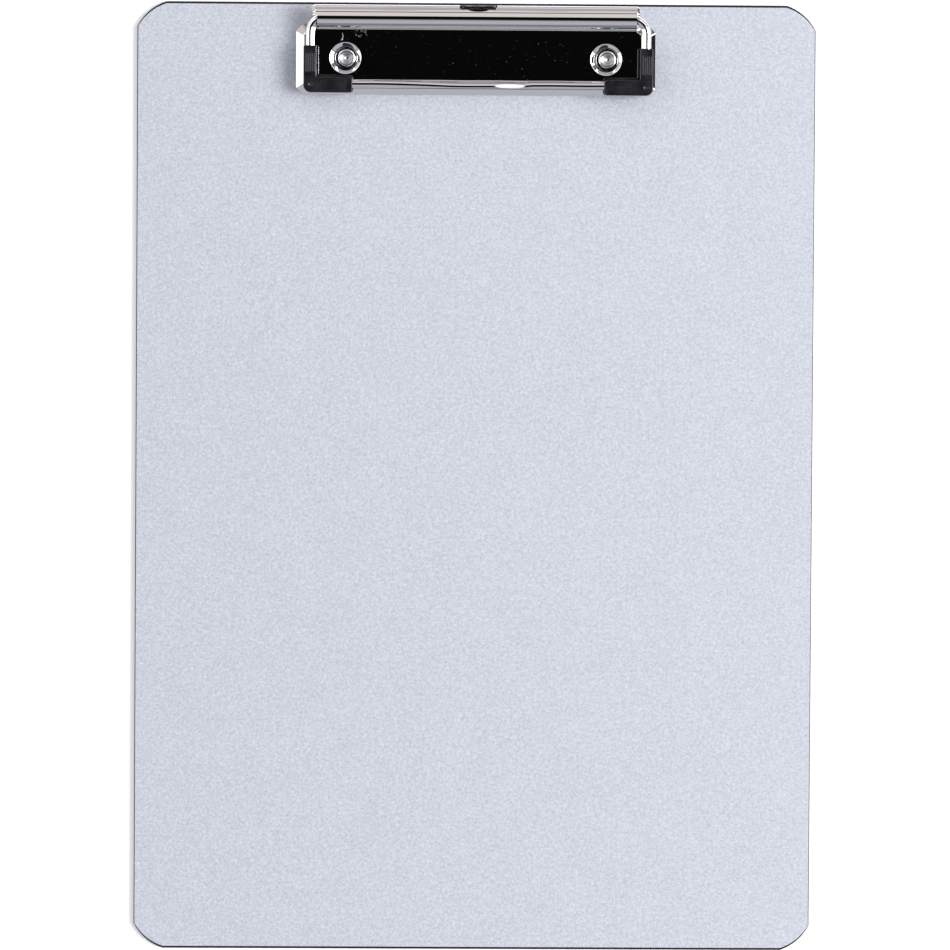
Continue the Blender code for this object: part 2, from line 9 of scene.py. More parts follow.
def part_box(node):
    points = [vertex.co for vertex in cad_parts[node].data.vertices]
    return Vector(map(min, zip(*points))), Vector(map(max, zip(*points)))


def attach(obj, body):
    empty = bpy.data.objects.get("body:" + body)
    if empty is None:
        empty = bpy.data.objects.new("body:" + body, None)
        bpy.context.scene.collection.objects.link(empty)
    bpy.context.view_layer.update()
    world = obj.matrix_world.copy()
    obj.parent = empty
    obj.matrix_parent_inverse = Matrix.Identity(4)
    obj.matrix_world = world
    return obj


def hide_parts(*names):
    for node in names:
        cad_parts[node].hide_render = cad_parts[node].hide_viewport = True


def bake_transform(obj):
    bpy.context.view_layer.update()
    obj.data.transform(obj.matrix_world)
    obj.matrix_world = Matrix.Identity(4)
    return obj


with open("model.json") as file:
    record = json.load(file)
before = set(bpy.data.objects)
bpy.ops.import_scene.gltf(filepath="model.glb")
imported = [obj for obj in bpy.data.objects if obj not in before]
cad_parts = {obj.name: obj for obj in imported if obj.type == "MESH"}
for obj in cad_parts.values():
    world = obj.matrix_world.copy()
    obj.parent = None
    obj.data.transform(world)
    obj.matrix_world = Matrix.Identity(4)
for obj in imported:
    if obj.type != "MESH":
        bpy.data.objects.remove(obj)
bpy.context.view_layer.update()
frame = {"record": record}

MM = 0.001
BASE = "board_and_base"
JAW = "jaw"

# --- places read from the frame

BOARD_LOW, BOARD_HIGH = (Vector(corner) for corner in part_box("board"))
TRAY_LOW, TRAY_HIGH = (Vector(corner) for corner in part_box("base_plate"))
WIRE_LOW, WIRE_HIGH = (Vector(corner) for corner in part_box("jaw_wire"))
LEVER_LOW, LEVER_HIGH = (Vector(corner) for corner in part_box("lever"))
HINGE = Vector(frame["record"]["behaviour"]["joints"][0]["pos_m"])
BOARD_HALF_X = (BOARD_HIGH.x - BOARD_LOW.x) / 2
BOARD_HALF_Y = (BOARD_HIGH.y - BOARD_LOW.y) / 2
JAW_X = (WIRE_LOW.x + WIRE_HIGH.x) / 2
WIRE_RADIUS = 1.5 * MM
LEG_X = (WIRE_HIGH.x - WIRE_LOW.x) / 2 - WIRE_RADIUS
BAR_Y = WIRE_LOW.y + WIRE_RADIUS - HINGE.y
BAR_Z = WIRE_LOW.z + WIRE_RADIUS - HINGE.z
JAW_TILT = math.atan2(BAR_Z, BAR_Y)
if JAW_TILT < -math.pi / 2:
    JAW_TILT += math.pi
HINGE_FRAME = Matrix.Translation((JAW_X, HINGE.y, HINGE.z))
JAW_FRAME = HINGE_FRAME @ Matrix.Rotation(JAW_TILT, 4, "X")


def rivet_centre(node):
    low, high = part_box(node)
    return ((low[0] + high[0]) / 2, (low[1] + high[1]) / 2)


LEFT_RIVET = rivet_centre("left_rivet")
RIGHT_RIVET = rivet_centre("right_rivet")

# --- driving sizes

GAP = 0.3 * MM
BOARD_TOP = BOARD_HIGH.z
EDGE_BREAK = 0.75 * MM
SIDE_BREAK_SHARE = 0.4
CORNER_CUT_X = 9.8 * MM
CORNER_CUT_Y = 8.4 * MM
CORNER_RADIUS = 17.0 * MM
HOLE_STEPS = 96

SHEET = 0.7 * MM
TRAY_X = (TRAY_LOW.x + TRAY_HIGH.x) / 2
TRAY_HALF_X = (TRAY_HIGH.x - TRAY_LOW.x) / 2
TRAY_FRONT_Y = TRAY_LOW.y
TRAY_BACK_Y = TRAY_FRONT_Y + 23.4 * MM
TRAY_FOOT = TRAY_LOW.z
TRAY_TOP = TRAY_FOOT + 2.0 * MM
TRAY_BEVEL = 2.6 * MM
TRAY_CORNER = 2.1 * MM
TRAY_TOP_CORNER = 1.1 * MM
DIMPLE_RADIUS = 5.26 * MM
DIMPLE_FLOOR_RADIUS = 3.4 * MM
DIMPLE_SHIFT_X = -0.35 * MM
KNUCKLE_RADIUS = WIRE_RADIUS + GAP + SHEET / 2
KNUCKLE_X = (18.0 * MM, 34.0 * MM)
KNUCKLE_SWEEP_DEG = 250.0
TONGUE_HALF_X = 54.2 * MM
TONGUE_FLARE = 1.3 * MM
TONGUE_START_Y = -8.0 * MM
TONGUE_CREASE_Y = TRAY_BACK_Y - TRAY_BEVEL - HINGE.y
TONGUE_BEND_Y = -2.6 * MM
SHELF_HALF_X = 40.0 * MM
SHELF_BACK_Y = 4.5 * MM
BACK_OPENING_HALF_X = 53.0 * MM
BACK_OPENING_DEPTH = 3.2 * MM

LEVER_SHEET = 0.6 * MM
LEVER_RADIUS = 3.3 * MM
LEVER_X = (LEVER_LOW.x + LEVER_HIGH.x) / 2 - JAW_X
LEVER_END_BEND = 0.95 * MM
LEVER_END_DROP = 0.5 * MM
# How the ends turn out and down, as shares of the bend and of the drop.
LEVER_END_STEPS = ((0.0, 0.0), (0.04, 0.01), (0.1, 0.04), (0.2, 0.12), (0.9, 0.86), (0.97, 0.96), (1.0, 1.0))
LEVER_HALF_X = (LEVER_HIGH.x - LEVER_LOW.x) / 2 - LEVER_END_BEND
LEVER_BEVEL = 0.1 * MM
FLANGE_SLOPE_DEG = 16.0
# Each facet's length along Y and its slope in degrees.
FLANGE_FACETS = ((0.72 * MM, 16.0), (0.22 * MM, 2.0), (0.58 * MM, 17.0), (0.78 * MM, 30.0))
FLANGE_EDGE_SLOPE_DEG = 22.0
HEM_RADIUS = 0.6 * MM
HEM_BACK_Y = LEVER_HIGH.y - HINGE.y
ROLL_X = -0.54 * MM
ROLL_HALF_X = 53.65 * MM
# Where each of the roll's arcs starts and ends, and its steps; the first starts at the lip.
ROLL_ARCS_DEG = ((210.0, 141.5, 30), (125.5, 109.5, 10), (99.6, 83.6, 16))
ROLL_CUT_Y = 0.6 * MM
CRIMP_X = (44.5 * MM, 50.5 * MM)
CRIMP_SHEET = 0.5 * MM
CRIMP_LEAVES_DEG = 195.0
CRIMP_DIVE_DEG = 80.0
CRIMP_WRAP_DEG = (280.0, 400.0)
NOTCH_X = -0.15 * MM
NOTCH_HALF_X = 6.3 * MM
NOTCH_SHOULDER = 0.9 * MM
NOTCH_SHOULDER_Y = 0.7 * MM
NOTCH_DEPTH = 1.45 * MM
NOTCH_LOBE_HALF_X = 3.45 * MM
NOTCH_LOBE_DEPTH = 2.2 * MM

HINGE_BEND = 5.0 * MM
CORNER_BEND = 2.8 * MM
PIN_END_X = 1.0 * MM
# Size of the hand-bent wire's wander, and its turns in radians a metre.
WANDER_Y = (0.03 * MM, 310.0)
WANDER_Z = (0.02 * MM, 470.0)

GRIP_HALF_HEIGHT = 2.4 * MM
GRIP_OUTER = 2.15 * MM
GRIP_INNER = 2.2 * MM
GRIP_FRONT = 3.05 * MM
GRIP_REAR = 2.15 * MM
GRIP_LEG_END_Y = -9.45 * MM
GRIP_BAR_END_X = 42.3 * MM
GRIP_FLANGE = 0.8 * MM
GRIP_CORNER_RADIUS = 2.5 * MM
GRIP_BAR_END_RADIUS = 1.2 * MM
GRIP_LEG_END_RADIUS = 0.5 * MM
GRIP_INSIDE_RADIUS = 0.35 * MM
GRIP_DISH_RADIUS = 0.95 * MM
GRIP_DISH_DEPTH = 0.42 * MM
RIB_COUNT = 5
RIB_HEIGHT = 0.16 * MM
RIB_SINK = 0.02 * MM
# Half length, half width and spacing of the ribs.
LEG_RIB = (3.0 * MM, 0.2 * MM, 0.68 * MM)
BAR_RIB = (3.2 * MM, 0.22 * MM, 0.78 * MM)
GRIP_SLIDE_Y = {"left": 0.1 * MM, "right": -0.25 * MM}

RIVET_HOLE = 2.5 * MM
TAIL_RADIUS = 3.6 * MM
RIVET_HEAD_RADIUS = 3.25 * MM
CUP_RADIUS = 2.1 * MM
PIP_SHIFT_X = 0.3 * MM
# The rivet's top from its middle outward: radius and depth below the crown, in millimetres.
RIVET_TOP = (
    (0.0, 0.80), (0.22, 0.79), (0.34, 0.70), (0.9, 0.53), (1.02, 0.51), (1.45, 0.36), (1.57, 0.34),
    (2.0, 0.19), (2.1, 0.10), (2.2, 0.04), (2.35, 0.01), (2.6, 0.05), (2.85, 0.14),
    (3.0, 0.26), (3.12, 0.42), (3.2, 0.6), (3.2, 0.84),
)

SPRING_RADIUS = 0.45 * MM
COIL_RADIUS = WIRE_RADIUS + GAP + SPRING_RADIUS
COIL_PITCH = 1.1 * MM
COIL_TURNS = 5
COIL_TURN_STEPS = 28
COIL_INNER_X = 6.6 * MM
BRIDGE_Y = 3.72 * MM
BRIDGE_Z = 0.75 * MM
BRIDGE_HALF_X = 5.4 * MM
BRIDGE_BEND = 0.8 * MM
LEG_LEAVES_DEG = 285.0
LEG_END_Y = -3.3 * MM

SCRATCH_PLACE = (-45.5 * MM, 148.1 * MM)
SCUFF_PLACE = (-39.0 * MM, 149.3 * MM)
# Middle and half width of the rubbed spots on the shelf's back edge.
SHELF_SPOTS = ((-5.9 * MM, 0.15 * MM), (-2.6 * MM, 0.95 * MM), (1.8 * MM, 0.9 * MM), (5.9 * MM, 0.15 * MM))
BAR_ZONE_Y = (HINGE.y - 19.0 * MM, HINGE.y - 18.0 * MM)
# Where along the bar its painted highlight sits, and which way the normal faces at its middle.
PAINTED_HIGHLIGHT_X = 11.0 * MM
PAINTED_HIGHLIGHT_NORMAL_Y = -0.3
# Where along the bar its shading starts to lean, leans fully, starts to lean back, and has leant back.
BAR_LEAN_X = (-30 * MM, -5 * MM, 14 * MM, 19 * MM)
BAR_LEAN = 0.44
BAR_LEAN_BACK = 0.28
DUST_COLOUR = (0.55, 0.54, 0.55)
WAVE_DEPTH = 0.004 * MM
TURNING_RINGS = 26000.0
TURNING_DEPTH = 0.004 * MM

FLOOR_HALF = 3.0
CAMERA_DISTANCE = 1.8
CAMERA_FIELD = 320.8 * MM
CAMERA_LEAN_DEG = (-1.2, 1.6)
CAMERA_ROLL_DEG = 0.36
CAMERA_AIM = Vector((0.25 * MM, 0.8 * MM, BOARD_TOP))
SENSOR_MM = 36.0

BACKDROP = (1.0, 1.0, 1.0)
ZENITH = (0.0028, 0.0026, 0.0026)
PANEL_BLUR_DEG = 2.0
# Colour, azimuths from +X towards +Y, and elevations of each panel of light, in degrees.
SKY_PANELS = (
    ((0.19, 0.175, 0.17), (45.0, 125.0), (-5.0, 14.0)),
    ((0.45, 0.42, 0.43), (45.0, 125.0), (14.0, 36.0)),
    ((0.69, 0.68, 0.755), (45.0, 140.0), (36.0, 47.0)),
    ((0.73, 0.67, 0.66), (45.0, 140.0), (47.0, 67.0)),
    ((0.17, 0.17, 0.18), (25.0, 45.0), (-5.0, 26.0)),
    ((1.3, 1.3, 1.3), (25.0, 60.0), (27.0, 60.0)),
    ((0.62, 0.59, 0.57), (125.0, 167.0), (-5.0, 25.0)),
    ((1.3, 1.3, 1.3), (120.0, 167.0), (25.0, 60.0)),
    ((0.22, 0.22, 0.24), (212.0, 331.0), (-5.0, 12.0)),
    ((0.47, 0.48, 0.545), (212.0, 331.0), (12.0, 28.0)),
    ((0.46, 0.46, 0.51), (212.0, 331.0), (28.0, 64.5)),
    ((1.5, 1.5, 1.5), (167.0, 209.0), (-5.0, 68.0)),
    ((0.035, 0.026, 0.024), (-26.0, 25.0), (-5.0, 13.0)),
    ((2.6, 2.57, 2.54), (-25.0, 25.0), (15.0, 68.0)),
    ((21.0, 20.7, 20.4), (-15.0, 15.0), (32.0, 52.0)),
)


# --- materials

class Graph:
    """A short way to build a node tree."""

    def __init__(self, tree):
        self.tree = tree

    def add(self, kind, **settings):
        node = self.tree.nodes.new(kind)
        for key, value in settings.items():
            setattr(node, key, value)
        return node

    def link(self, source, target):
        self.tree.links.new(source, target)

    def fill(self, socket, value):
        """Give a socket a link, a colour or a number."""
        if isinstance(value, bpy.types.NodeSocket):
            self.link(value, socket)
        elif isinstance(value, tuple):
            socket.default_value = (*value, 1.0)
        else:
            socket.default_value = value

    def remap(self, value, low, high, to_low=0.0, to_high=1.0, smooth=False):
        node = self.add("ShaderNodeMapRange")
        node.interpolation_type = "SMOOTHSTEP" if smooth else "LINEAR"
        for key, number in (("From Min", low), ("From Max", high), ("To Min", to_low), ("To Max", to_high)):
            node.inputs[key].default_value = number
        self.link(value, node.inputs["Value"])
        return node.outputs["Result"]

    def maths(self, operation, *values):
        """One operation, applied along two or more values from the left."""
        result = values[0]
        for value in values[1:]:
            node = self.add("ShaderNodeMath", operation=operation)
            self.fill(node.inputs[0], result)
            self.fill(node.inputs[1], value)
            result = node.outputs["Value"]
        return result

    def plus(self, *values):
        return self.maths("ADD", *values)

    def times(self, *values):
        return self.maths("MULTIPLY", *values)

    def most(self, *values):
        return self.maths("MAXIMUM", *values)

    def reach(self, x, y):
        """Length of the vector (x, y)."""
        return self.maths("SQRT", self.plus(self.times(x, x), self.times(y, y)), 0.0)

    def blend(self, factor, first, second):
        node = self.add("ShaderNodeMix", data_type="RGBA")
        self.link(factor, node.inputs["Factor"])
        self.fill(node.inputs[6], first)
        self.fill(node.inputs[7], second)
        return node.outputs[2]

    def parts(self, vector):
        split = self.add("ShaderNodeSeparateXYZ")
        self.link(vector, split.inputs[0])
        return tuple(split.outputs)


class Finish(Graph):
    """A Principled material whose patterns are fixed to its object."""

    def __init__(self, name):
        self.material = bpy.data.materials.new(name)
        self.material.use_nodes = True
        super().__init__(self.material.node_tree)
        self.shader = self.tree.nodes["Principled BSDF"]
        self.place = self.add("ShaderNodeTexCoord").outputs["Object"]
        self.x, self.y, self.z = self.parts(self.place)

    def stretched(self, scale):
        mapping = self.add("ShaderNodeMapping")
        mapping.inputs["Scale"].default_value = scale
        self.link(self.place, mapping.inputs["Vector"])
        return mapping.outputs["Vector"]

    def noise(self, size, detail=2.0, vector=None, roughness=0.5):
        """Noise whose features are about size metres across."""
        node = self.add("ShaderNodeTexNoise")
        node.inputs["Scale"].default_value = 1.0 / size
        node.inputs["Detail"].default_value = detail
        node.inputs["Roughness"].default_value = roughness
        self.link(vector or self.place, node.inputs["Vector"])
        return node.outputs["Fac"]

    def tones(self, value, low, high, first, second):
        """The first colour where value is low, running to the second where it is high."""
        return self.blend(self.remap(value, low, high), first, second)

    def near(self, value, centre, half, soft):
        """1 where value is within half of centre, fading to 0 over soft."""
        distance = self.maths("ABSOLUTE", self.maths("SUBTRACT", value, centre), 0.0)
        return self.remap(distance, half, half + soft, 1.0, 0.0, True)

    def bump(self, height, depth, strength=1.0, under=None):
        node = self.add("ShaderNodeBump")
        node.inputs["Distance"].default_value = depth
        node.inputs["Strength"].default_value = strength
        self.link(height, node.inputs["Height"])
        if under is not None:
            self.link(under, node.inputs["Normal"])
        return node.outputs["Normal"]

    def leaned(self, normal, lean):
        """The normal tipped towards +Y by lean."""
        aside = self.add("ShaderNodeCombineXYZ")
        self.link(lean, aside.inputs["Y"])
        total = self.add("ShaderNodeVectorMath", operation="ADD")
        self.link(normal, total.inputs[0])
        self.link(aside.outputs[0], total.inputs[1])
        unit = self.add("ShaderNodeVectorMath", operation="NORMALIZE")
        self.link(total.outputs[0], unit.inputs[0])
        return unit.outputs[0]

    def set(self, socket, value):
        self.fill(self.shader.inputs[socket], value)


def anodised_aluminium():
    """Blasted and clear-anodised sheet: a fine even grain, with painted light that makes it a little lighter
    towards +X.
    """
    m = Finish("anodised_aluminium")
    grain = m.noise(0.38 * MM, 3.0, roughness=0.7)
    fleck = m.noise(0.9 * MM, 1.0)
    mottle = m.noise(14 * MM, 3.0)
    # Painted light: the tone rises a little from -X to +X, standing in for the light falling across the
    # board.
    painted_light_drift = m.remap(m.x, -BOARD_HALF_X, BOARD_HALF_X, -0.018, 0.018)
    tone = m.plus(m.times(grain, 0.68), m.times(fleck, 0.28), m.times(mottle, 0.04), painted_light_drift)
    m.set("Base Color", m.tones(tone, 0.35, 0.65, (0.401, 0.424, 0.485), (0.647, 0.677, 0.747)))
    m.set("Metallic", 0.4)
    m.set("Specular IOR Level", 0.3)
    m.set("Roughness", m.remap(grain, 0.3, 0.7, 0.60, 0.74))
    m.set("Normal", m.bump(grain, 0.03 * MM, 0.35))
    return m.material


def cut_edge():
    """The board's broken edge, coloured near black and a little scuffed."""
    m = Finish("board_edge")
    scuff = m.noise(0.8 * MM, 3.0, roughness=0.7)
    m.set("Base Color", m.tones(scuff, 0.4, 0.75, (0.012, 0.012, 0.016), (0.028, 0.028, 0.036)))
    m.set("Metallic", 0.0)
    m.set("Specular IOR Level", 0.2)
    m.set("Roughness", m.remap(scuff, 0.3, 0.7, 0.55, 0.75))
    m.set("Normal", m.bump(scuff, 0.03 * MM, 0.3))
    return m.material


def bright_plating(name, tint, scratches=0.0, wear=None):
    """Nickel and chrome plating: nearly a mirror, with slow waves, dust and hairline rubs."""
    m = Finish(name)
    dust = m.noise(0.35 * MM, 4.0, roughness=0.75)
    speck = m.remap(m.noise(0.6 * MM, 1.0), 0.75, 0.81)
    haze = m.noise(6 * MM, 3.0)
    surface_pattern = m.noise(0.25 * MM, 2.0, vector=m.stretched((0.06, 1.0, 1.0)))
    m.set("Base Color", m.tones(dust, 0.66, 0.80, tint, DUST_COLOUR))
    gloss = m.plus(m.remap(haze, 0.3, 0.7, 0.025, 0.06), m.remap(dust, 0.68, 0.82, 0.0, 0.35))
    if wear:
        marks = wear(m)
        speck = m.most(speck, marks)
        gloss = m.plus(gloss, m.times(marks, 0.4))
    m.set("Metallic", m.remap(speck, 0.0, 1.0, 1.0, 0.86))
    m.set("Roughness", gloss)
    waves = m.bump(m.noise(9 * MM, 1.0), WAVE_DEPTH)
    m.set("Normal", m.bump(surface_pattern, 0.0006 * MM, scratches + 0.15, waves))
    return m.material


def tray_wear(m):
    """A scratch behind the left rivet, scribbled scuffs beside it, and rubbed spots on the shelf's edge."""
    wander = m.remap(m.noise(2.5 * MM, 2.0), 0.3, 0.7, -0.5 * MM, 0.5 * MM)
    lean = m.times(m.maths("SUBTRACT", m.y, SCRATCH_PLACE[1]), -0.12)
    line = m.near(m.plus(m.x, lean, wander), SCRATCH_PLACE[0], 0.05 * MM, 0.16 * MM)
    scratch = m.times(line, m.near(m.y, SCRATCH_PLACE[1], 1.1 * MM, 0.3 * MM))

    scribble = m.near(m.noise(1.6 * MM, 2.0), 0.5, 0.012, 0.02)
    across = m.near(m.x, SCUFF_PLACE[0], 1.4 * MM, 1.0 * MM)
    along = m.near(m.y, SCUFF_PLACE[1], 0.9 * MM, 0.8 * MM)
    scuff = m.times(scribble, m.times(across, along), 0.6)

    spots = m.most(*[m.near(m.x, place, half, 0.25 * MM) for place, half in SHELF_SPOTS])
    edge = m.near(m.y, HINGE.y + SHELF_BACK_Y, 0.28 * MM, 0.08 * MM)
    return m.most(scratch, scuff, m.times(spots, edge))


def wire_plating(tint):
    """Plated wire: bright, with painted shade low along its front, a painted dark reflection along the bar's
    crest and a painted highlight spot on the bar.
    """
    m = Finish("wire_plating")
    dust = m.noise(0.35 * MM, 4.0, roughness=0.75)
    haze = m.noise(6 * MM, 3.0)
    facing = m.parts(m.add("ShaderNodeTexCoord").outputs["Normal"])[1]
    on_bar = m.remap(m.y, *BAR_ZONE_Y, 1.0, 0.0)

    # The shading leans along the bar, so its reflections wander as they do on a wire bent cold.
    start, full, hold, end = BAR_LEAN_X
    forward = m.remap(m.x, start, full, 0.0, BAR_LEAN, True)
    back = m.remap(m.x, hold, end, 0.0, BAR_LEAN_BACK, True)
    lean = m.times(m.maths("SUBTRACT", forward, back), on_bar)
    m.set("Normal", m.leaned(m.bump(m.noise(9 * MM, 1.0), WAVE_DEPTH), lean))

    # Painted highlight: a bright, less metallic spot on the bar's front, standing in for light caught where
    # the wire is bent.
    along = m.near(m.x, PAINTED_HIGHLIGHT_X, 0.0, 8.5 * MM)
    across = m.near(facing, PAINTED_HIGHLIGHT_NORMAL_Y, 0.0, 0.75)
    surface_pattern = m.remap(m.times(along, across, on_bar), 0.25, 0.45)
    # Painted reflection: a near-black line along the bar's top, where it mirrors the dark zenith.
    painted_crest_reflection = m.near(m.plus(facing, lean), 0.02, 0.11, 0.1)
    # Painted shade: the wire turns dark grey where it faces forward and down, standing in for the shade where
    # it meets the tray.
    front = m.remap(facing, -0.96, -0.76, 1.0, 0.0, True)

    colour = m.tones(dust, 0.66, 0.80, tint, DUST_COLOUR)
    colour = m.blend(front, colour, (0.10, 0.10, 0.10))
    colour = m.blend(m.times(painted_crest_reflection, on_bar, 0.9), colour, (0.02, 0.02, 0.02))
    m.set("Base Color", m.blend(surface_pattern, colour, (0.95, 0.95, 0.95)))
    m.set("Metallic", m.remap(surface_pattern, 0.0, 1.0, 1.0, 0.3))
    gloss = m.plus(m.remap(haze, 0.3, 0.7, 0.015, 0.04), m.remap(dust, 0.68, 0.82, 0.0, 0.35))
    m.set("Roughness", m.plus(gloss, m.times(surface_pattern, 0.4)))
    return m.material


def rivet_plating(name, centre):
    """Turned and plated rivet: satin cup with fine turning rings, and a dark ring round the head that is
    painted shade with grime in it.
    """
    m = Finish(name)
    x = m.maths("SUBTRACT", m.x, centre[0])
    y = m.maths("SUBTRACT", m.y, centre[1])
    reach = m.reach(x, y)
    pip_reach = m.reach(m.maths("SUBTRACT", x, PIP_SHIFT_X), y)
    # Darkened marks: the outer ring round the head is painted shade in the gap there, with grime. Fainter
    # dark rings lie at the cup's edge and round the pip, and the pip itself is dark.
    marks = m.most(
        m.near(reach, 3.06 * MM, 0.12 * MM, 0.1 * MM),
        m.times(m.near(reach, 2.12 * MM, 0.05 * MM, 0.12 * MM), 0.6),
        m.times(m.near(pip_reach, 1.2 * MM, 0.05 * MM, 0.12 * MM), 0.4),
        m.times(m.near(pip_reach, 0.0, 0.3 * MM, 0.25 * MM), 0.95),
    )
    smear = m.remap(m.noise(0.7 * MM, 3.0), 0.35, 0.7, 0.75, 1.0)
    satin = m.blend(m.remap(reach, 1.9 * MM, 2.2 * MM, 1.0, 0.0), (0.88, 0.88, 0.89), (0.42, 0.42, 0.43))
    m.set("Base Color", m.blend(m.times(marks, smear), satin, (0.012, 0.012, 0.013)))
    m.set("Metallic", 1.0)
    cup = m.remap(reach, 1.9 * MM, 2.2 * MM, 0.30, 0.12)
    m.set("Roughness", m.plus(cup, m.remap(m.noise(0.3 * MM, 3.0), 0.4, 0.7, 0.0, 0.06)))
    turning = m.maths("SINE", m.times(reach, TURNING_RINGS), 0.0)
    m.set("Normal", m.bump(turning, TURNING_DEPTH, 0.5))
    return m.material


def grip_plastic():
    """Black moulded plastic with a satin, slightly dusty skin."""
    m = Finish("grip_plastic")
    grain = m.noise(0.3 * MM, 3.0, roughness=0.7)
    handling = m.noise(3.5 * MM, 3.0)
    tone = m.plus(m.times(grain, 0.5), m.times(handling, 0.5))
    m.set("Base Color", m.tones(tone, 0.4, 0.62, (0.005, 0.005, 0.007), (0.014, 0.014, 0.019)))
    m.set("Roughness", m.remap(handling, 0.3, 0.7, 0.24, 0.36))
    m.set("Specular IOR Level", 0.4)
    m.set("Normal", m.bump(grain, 0.02 * MM, 0.35))
    return m.material


def spring_steel():
    """Drawn spring wire, darker than the plating, with faint draw lines."""
    m = Finish("spring_steel")
    drawn = m.noise(0.2 * MM, 3.0, vector=m.stretched((0.3, 1.0, 1.0)))
    m.set("Base Color", m.tones(drawn, 0.4, 0.65, (0.035, 0.030, 0.028), (0.10, 0.09, 0.085)))
    m.set("Metallic", 1.0)
    m.set("Roughness", m.remap(drawn, 0.3, 0.7, 0.16, 0.30))
    m.set("Normal", m.bump(drawn, 0.01 * MM, 0.3))
    return m.material


def floor_white():
    """A pale matt floor that glows a little, so that it stays plain under the object."""
    m = Finish("studio_floor")
    soft = m.noise(120 * MM, 2.0)
    m.set("Base Color", m.tones(soft, 0.3, 0.7, (0.93, 0.93, 0.94), (0.96, 0.96, 0.965)))
    m.set("Roughness", 0.9)
    m.set("Emission Color", (1.0, 1.0, 1.0))
    m.set("Emission Strength", 0.25)
    return m.material


# --- outlines

def on_circle(centre, radius, degrees):
    angle = math.radians(degrees)
    return (centre[0] + radius * math.cos(angle), centre[1] + radius * math.sin(angle))


def arc(centre, radius, start_deg, end_deg, steps):
    """Points along a circle from one angle to another."""
    turn = end_deg - start_deg
    return [on_circle(centre, radius, start_deg + turn * step / steps) for step in range(steps + 1)]


def arc_through(start, end, radius, steps):
    """Points from start to end on a circle that bulges to the right of the chord."""
    a = Vector(start)
    b = Vector(end)
    chord = b - a
    left = Vector((-chord.y, chord.x)).normalized()
    centre = (a + b) / 2 + left * math.sqrt(radius ** 2 - (chord.length / 2) ** 2)
    first = math.degrees(math.atan2(a.y - centre.y, a.x - centre.x))
    last = math.degrees(math.atan2(b.y - centre.y, b.x - centre.x))
    if last < first:
        last += 360.0
    return arc(centre, radius, first, last, steps)


def tangent_angle(point, radius, side):
    """Angle at which a line from a point touches a circle about the origin, on the side of +1 or -1."""
    distance = math.hypot(*point)
    middle = math.degrees(math.atan2(point[1], point[0]))
    return middle + side * math.degrees(math.acos(radius / distance))


def side_of(path, index):
    """Unit vector to the left of a path at one of its points, lengthened at a bend."""
    here = Vector(path[index])
    incoming = (here - Vector(path[index - 1])).normalized() if index > 0 else None
    outgoing = (Vector(path[index + 1]) - here).normalized() if index < len(path) - 1 else None
    incoming = incoming or outgoing
    outgoing = outgoing or incoming
    along = (incoming + outgoing).normalized()
    return Vector((-along.y, along.x)) / max(along.dot(outgoing), 0.5)


def offset_path(path, distance):
    """The path moved to its left by distance."""
    return [tuple(Vector(point) + side_of(path, index) * distance) for index, point in enumerate(path)]


def strip_outline(path, thickness):
    """Closed outline of a bent sheet whose middle line is path."""
    return offset_path(path, thickness / 2) + offset_path(path, -thickness / 2)[::-1]


def mirrored(right):
    """The right half of an outline and its mirror image."""
    return right + [(-x, y) for x, y in reversed(right)]


def stacked(outline, levels):
    """Rings for a solid: the outline at each (inset, height)."""
    return [[(x, y, height) for x, y in outline(inset)] for inset, height in levels]


def bent(start, corner, end, t):
    """Point at share t of a soft bend from start round a corner to end."""
    return tuple(start * (1 - t) ** 2 + corner * 2 * t * (1 - t) + end * t ** 2)


def rounded(outline, radius, steps):
    """A closed outline with each of its corners rounded."""
    points = []
    count = len(outline)
    for index, corner in enumerate(outline):
        here = Vector(corner)
        before = Vector(outline[index - 1]) - here
        after = Vector(outline[(index + 1) % count]) - here
        reach = min(radius, before.length * 0.45, after.length * 0.45)
        start = here + before.normalized() * reach
        end = here + after.normalized() * reach
        for step in range(steps + 1):
            points.append(bent(start, here, end, step / steps))
    return points


# --- meshes

def to_mesh(name, mesh_edit, sharp_deg=32.0):
    """Smooth-shaded mesh from a bmesh, creased where its faces meet at more than sharp_deg."""
    bmesh.ops.recalc_face_normals(mesh_edit, faces=mesh_edit.faces)
    mesh = bpy.data.meshes.new(name)
    mesh_edit.to_mesh(mesh)
    mesh_edit.free()
    mesh.shade_smooth()
    mesh.set_sharp_from_angle(angle=math.radians(sharp_deg))
    return mesh


def bridge(mesh_edit, lower, upper, material_index=0):
    """Faces between two loops of the same count."""
    for index in range(len(lower)):
        following = (index + 1) % len(lower)
        face = mesh_edit.faces.new((lower[index], lower[following], upper[following], upper[index]))
        face.material_index = material_index


def loft(name, rings, sharp_deg=32.0):
    """Closed solid through a stack of outlines."""
    mesh_edit = bmesh.new()
    loops = [[mesh_edit.verts.new(point) for point in ring] for ring in rings]
    for lower, upper in zip(loops, loops[1:]):
        bridge(mesh_edit, lower, upper)
    mesh_edit.faces.new(loops[0][::-1])
    mesh_edit.faces.new(loops[-1])
    return to_mesh(name, mesh_edit, sharp_deg)


def fill_between(mesh_edit, outer, holes):
    """Flat face between an outer loop and the loops of its holes."""
    edges = []
    for loop in [outer] + holes:
        for index in range(len(loop)):
            pair = (loop[index], loop[(index + 1) % len(loop)])
            edges.append(mesh_edit.edges.get(pair) or mesh_edit.edges.new(pair))
    bmesh.ops.triangle_fill(mesh_edit, use_beauty=True, edges=edges)


